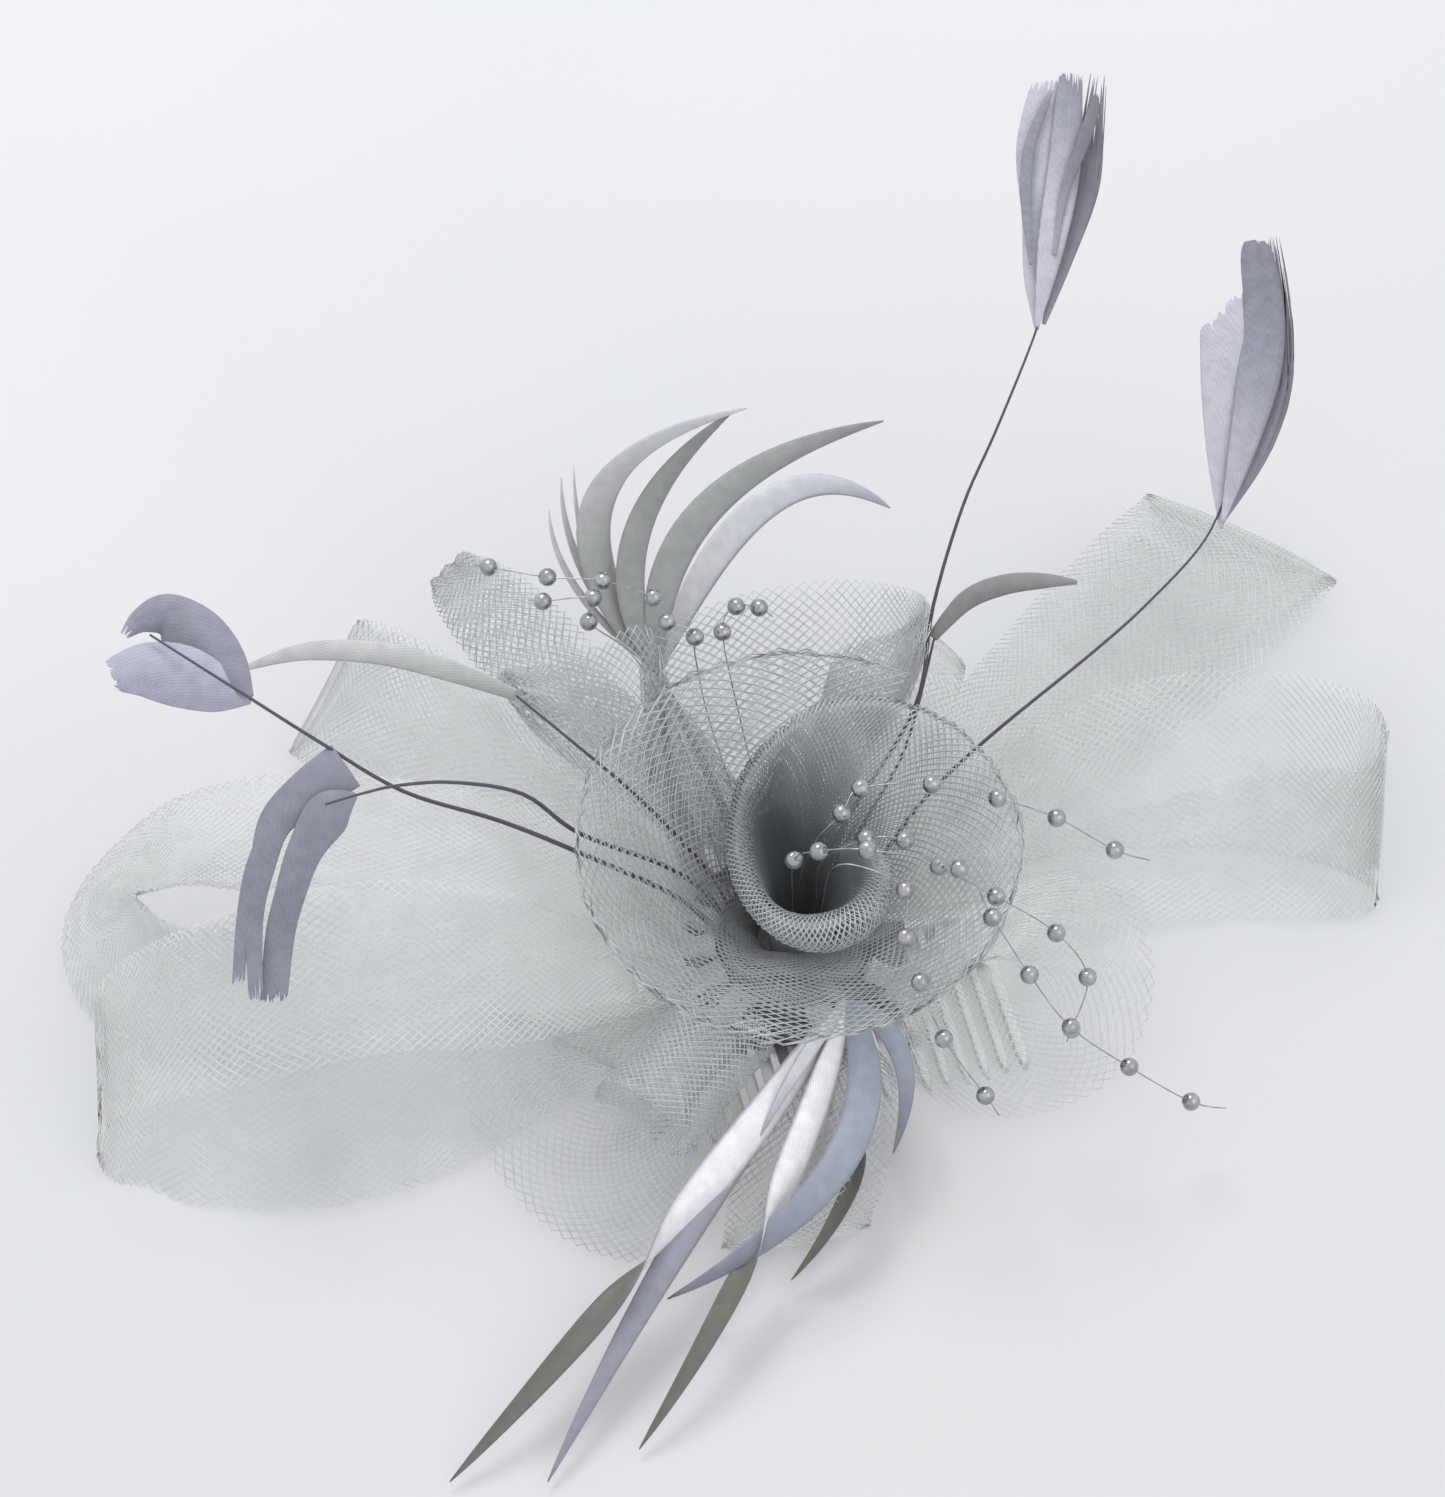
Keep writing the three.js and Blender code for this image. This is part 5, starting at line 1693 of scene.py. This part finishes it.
QUILLS = (
    Quill("quill_back", 70, 1, 1, 1.3, 17,
        ((0.07, 0.14, 0.19), (0.165, 0.265, 0.33), (0.19, 0.38, 0.45), (0.23, 0.49, 0.57),
         (0.275, 0.57, 0.67), (0.325, 0.67, 0.78), (0.345, 0.73, 0.83)), (
        Strip(((0.33, 0.68, 0.8, 0.05), (0.35, 0.78, 0.87, 0.34), (0.37, 0.89, 0.93, 0.42),
               (0.38, 1.01, 1.01, 0.31)), SOFT, 0.1),
        Strip(((0.33, 0.68, 0.79, 0.05), (0.33, 0.75, 0.83, 0.31), (0.33, 0.83, 0.88, 0.35),
               (0.33, 0.92, 0.94, 0.47), (0.35, 1.01, 1, 0.39)), LILAC, 0.06, 27, 0.05),
        Strip(((0.34, 0.69, 0.79, 0.05), (0.37, 0.78, 0.84, 0.24), (0.4, 0.87, 0.89, 0.34),
               (0.41, 0.94, 0.94, 0.31), (0.42, 1.02, 0.99, 0.21)), DARK, 0.3),
        Strip(((0.354, 0.767, 0.871, 0.04), (0.368, 0.846, 0.919, 0.12), (0.391, 0.905, 0.955, 0.17),
               (0.41, 0.956, 0.985, 0.15), (0.416, 0.982, 1.001, 0.05)), DARK, 0.2, 9),
        Strip(((0.322, 0.754, 0.863, 0.04), (0.316, 0.839, 0.915, 0.14), (0.321, 0.905, 0.955, 0.15),
               (0.34, 0.956, 0.985, 0.11), (0.354, 0.985, 1.003, 0.05)), HAZY, 0.2, 9),
        ), 0.2, Tint.GREY, 3),
    Quill("quill_right", 38, 0.775, 0.926, 1.3, 20,
        ((0.16, 0.12, 0.2), (0.23, 0.17, 0.33), (0.34, 0.24, 0.44), (0.51, 0.34, 0.57),
         (0.61, 0.41, 0.64), (0.71, 0.5, 0.72), (0.76, 0.6, 0.78)), (
        Strip(((0.74, 0.52, 0.75, 0.04), (0.78, 0.65, 0.82, 0.31), (0.81, 0.77, 0.88, 0.47),
               (0.82, 0.87, 0.93, 0.44), (0.81, 0.96, 0.98, 0.36), (0.81, 0.99, 0.99, 0.24)), DIM, 0.1),
        Strip(((0.74, 0.52, 0.73, 0.04), (0.74, 0.63, 0.79, 0.27), (0.75, 0.74, 0.85, 0.51),
               (0.76, 0.83, 0.9, 0.64), (0.755, 0.92, 0.94, 0.51)), LILAC, 0.05, 27, 0.2),
        Strip(((0.74, 0.53, 0.73, 0.04), (0.81, 0.64, 0.79, 0.16), (0.85, 0.74, 0.84, 0.19),
               (0.86, 0.84, 0.89, 0.17), (0.85, 0.93, 0.94, 0.2), (0.84, 1.01, 0.98, 0.14)), DARK, 0.4),
        ), 0.22, Tint.GREY, 4),
    Quill("quill_left_back", 186, 0.894, 0.806, 1.5, 29,
        ((-0.135, -0.01, 0.2), (-0.19, -0.01, 0.34), (-0.31, 0, 0.49), (-0.44, 0.015, 0.62),
         (-0.58, 0.015, 0.76), (-0.7, 0.055, 0.88),
         (-0.799, 0.096, 0.97), (-0.871, 0.131, 1.02), (-0.946, 0.182, 1.03)), (
        # Painted shade: the upper strip is tinted darker than the lower one, for the shade on the vane's
        # cupped upper side.
        Strip(((-0.798, 0.105, 0.95, 0.04), (-0.835, 0.153, 0.96, 0.32), (-0.881, 0.201, 0.97, 0.43),
               (-0.927, 0.235, 0.98, 0.33), (-0.963, 0.223, 0.99, 0.19),
               (-0.987, 0.192, 1, 0.06)), HAZY, 0.1),
        Strip(((-0.799, 0.108, 0.93, 0.06), (-0.846, 0.121, 0.94, 0.33), (-0.897, 0.136, 0.96, 0.45),
               (-0.948, 0.144, 0.97, 0.41), (-0.987, 0.136, 0.98, 0.29),
               (-1.006, 0.127, 0.99, 0.19)), MISTY, 0.1, 27, 0.06),
        ), 0.3, Tint.LILAC, 5),
    Quill("quill_left", 171, 0.713, 0.685, 1.5, 15,
        ((-0.17, 0.03, 0.28), (-0.25, 0.045, 0.41), (-0.41, 0.04, 0.61), (-0.51, 0.05, 0.8),
         (-0.63, 0.02, 0.94), (-0.73, -0.01, 1), (-0.798, -0.032, 1.01), (-0.863, -0.055, 1.01)), (
        Strip(((-0.83, 0.037, 0.99, 0.7), (-0.894, -0.009, 0.97, 0.64), (-0.957, -0.057, 0.92, 0.48),
               (-0.983, -0.127, 0.84, 0.34), (-0.999, -0.198, 0.74, 0.25),
               (-0.996, -0.322, 0.62, 0.2)), HAZY, 0.08),
        Strip(((-0.81, -0.018, 0.97, 0.08), (-0.856, -0.051, 0.96, 0.62), (-0.903, -0.106, 0.89, 0.5),
               (-0.932, -0.165, 0.8, 0.43), (-0.953, -0.214, 0.7, 0.41),
               (-0.966, -0.316, 0.59, 0.38)), HAZY, 0.05),
        Strip(((-0.967, -0.063, 0.92, 0.2), (-1, -0.127, 0.84, 0.22), (-1.019, -0.198, 0.74, 0.2),
               (-1.029, -0.295, 0.64, 0.17)), HAZY, 0.1),
        ), 0.15, Tint.LILAC, 6),
    Quill("biot_left", 158, 0.744, 0.583, 1.5, 5,
        ((-0.17, 0.1, 0.3), (-0.285, 0.16, 0.56), (-0.4, 0.23, 0.7), (-0.52, 0.3, 0.84)), (
        Strip(((-0.51, 0.295, 0.83, 0.5), (-0.62, 0.31, 0.93, 0.9), (-0.75, 0.33, 0.99, 1),
               (-0.89, 0.33, 1, 0.75), (-1, 0.3, 0.98, 0.2)), (Tint.ASH, Tint.FOG, Tint.FOG), 0, 9),
        ), 0.25, Tint.OLIVE, 7),
    Quill("biot_right", 54, 0.412, 0.556, 1.5, 4.5,
        ((0.22, 0.32, 0.32), (0.37, 0.55, 0.48), (0.47, 0.86, 0.73)), (
        Strip(((0.46, 0.85, 0.72, 0.5), (0.57, 0.93, 0.83, 0.95), (0.69, 0.95, 0.9, 1),
               (0.82, 0.93, 0.96, 0.75), (0.93, 0.9, 1, 0.2)), MOSSY, 0, 9),
        ), 0.25, Tint.OLIVE, 8),
)


@dataclass
class Trimmings:
    """Everything that stands in the net: biots, quills and pearls."""

    biot: DyedFeather = DyedFeather("dyed_goose_biot", 0.5, 78.0, 0.45)
    vane: DyedFeather = DyedFeather("dyed_goose_vane", 0.6, 74.0, 0.6)
    pearl: PearlCoat = PearlCoat()

    def build(self) -> None:
        """Make every feather and string."""
        biot, vane, pearl = self.biot.material(), self.vane.material(), self.pearl.material()
        for fan in FANS:
            fan.build(biot)
        for quill in QUILLS:
            quill.build(vane)
        for string in STRINGS:
            PearlString(*string).build(pearl)


# Floor, light and camera


@dataclass
class Studio:
    """A pale floor, soft light and the photograph's camera, in metres.

    Attributes:
        target: where the camera and the lamps look.
        lens: focal length in millimetres, as is the sensor's width.
        sky: strength of the light from all round.
        lamps: name, place, side of the square and watts of each lamp.
    """

    target: tuple[float, float, float] = (-0.016, 0.0385, 0.025)
    distance: float = 1.0
    lens: float = 108.3
    sensor: float = 36.0
    clip: tuple[float, float] = (0.05, 30.0)
    sky: float = 0.98
    sky_colour: str = "#f7f8fa"
    lamps: tuple[tuple[str, tuple[float, float, float], float, float], ...] = (
        ("key", (-0.25, 0.75, 1.1), 0.5, 7.5),
        ("fill", (0.7, -0.4, 1.0), 0.9, 1.6),
    )
    floor_size: float = 8.0
    floor_drop: float = 0.0002
    finish: StudioCard = StudioCard()

    def floor(self) -> None:
        """Lay the floor just under the piece."""
        deselect()
        bpy.ops.mesh.primitive_plane_add(size=self.floor_size, location=(0, 0, -self.floor_drop))
        floor = bpy.context.object
        floor.name = "floor"
        floor.data.materials.append(self.finish.material())

    def lamp(self, name: str, place: tuple[float, float, float], size: float, power: float) -> None:
        """Hang one soft square lamp that looks at the piece.

        Args:
            name: its name.
            place: where it hangs.
            size: the side of the square.
            power: watts.
        """
        light = bpy.data.lights.new(name, "AREA")
        light.size, light.energy = size, power
        lamp = put(name, light)
        lamp.location = place
        aim(lamp, Vector(self.target) - Vector(place), "-Z")

    def build(self) -> None:
        """Set up the studio."""
        self.floor()
        world = bpy.data.worlds.new("studio")
        world.use_nodes = True
        sky = world.node_tree.nodes["Background"]
        sky.inputs["Color"].default_value = linear(self.sky_colour)
        sky.inputs["Strength"].default_value = self.sky
        bpy.context.scene.world = world
        bpy.context.scene.view_settings.view_transform = "Standard"
        for lamp in self.lamps:
            self.lamp(*lamp)
        camera = put("camera", bpy.data.cameras.new("camera"))
        camera.location = Vector(self.target) + Vector(TO_CAMERA) * self.distance
        aim(camera, -Vector(TO_CAMERA), "-Z")
        camera.data.sensor_width = self.sensor
        camera.data.lens = self.lens
        camera.data.clip_start, camera.data.clip_end = self.clip
        bpy.context.scene.camera = camera


def main() -> None:
    """Build the studio and the fascinator."""
    logging.basicConfig(level=logging.INFO, format="%(message)s")
    Studio().build()
    Comb().build()
    FeltBase().build()
    NetWork().build()
    Trimmings().build()


if __name__ == "__main__":
    main()
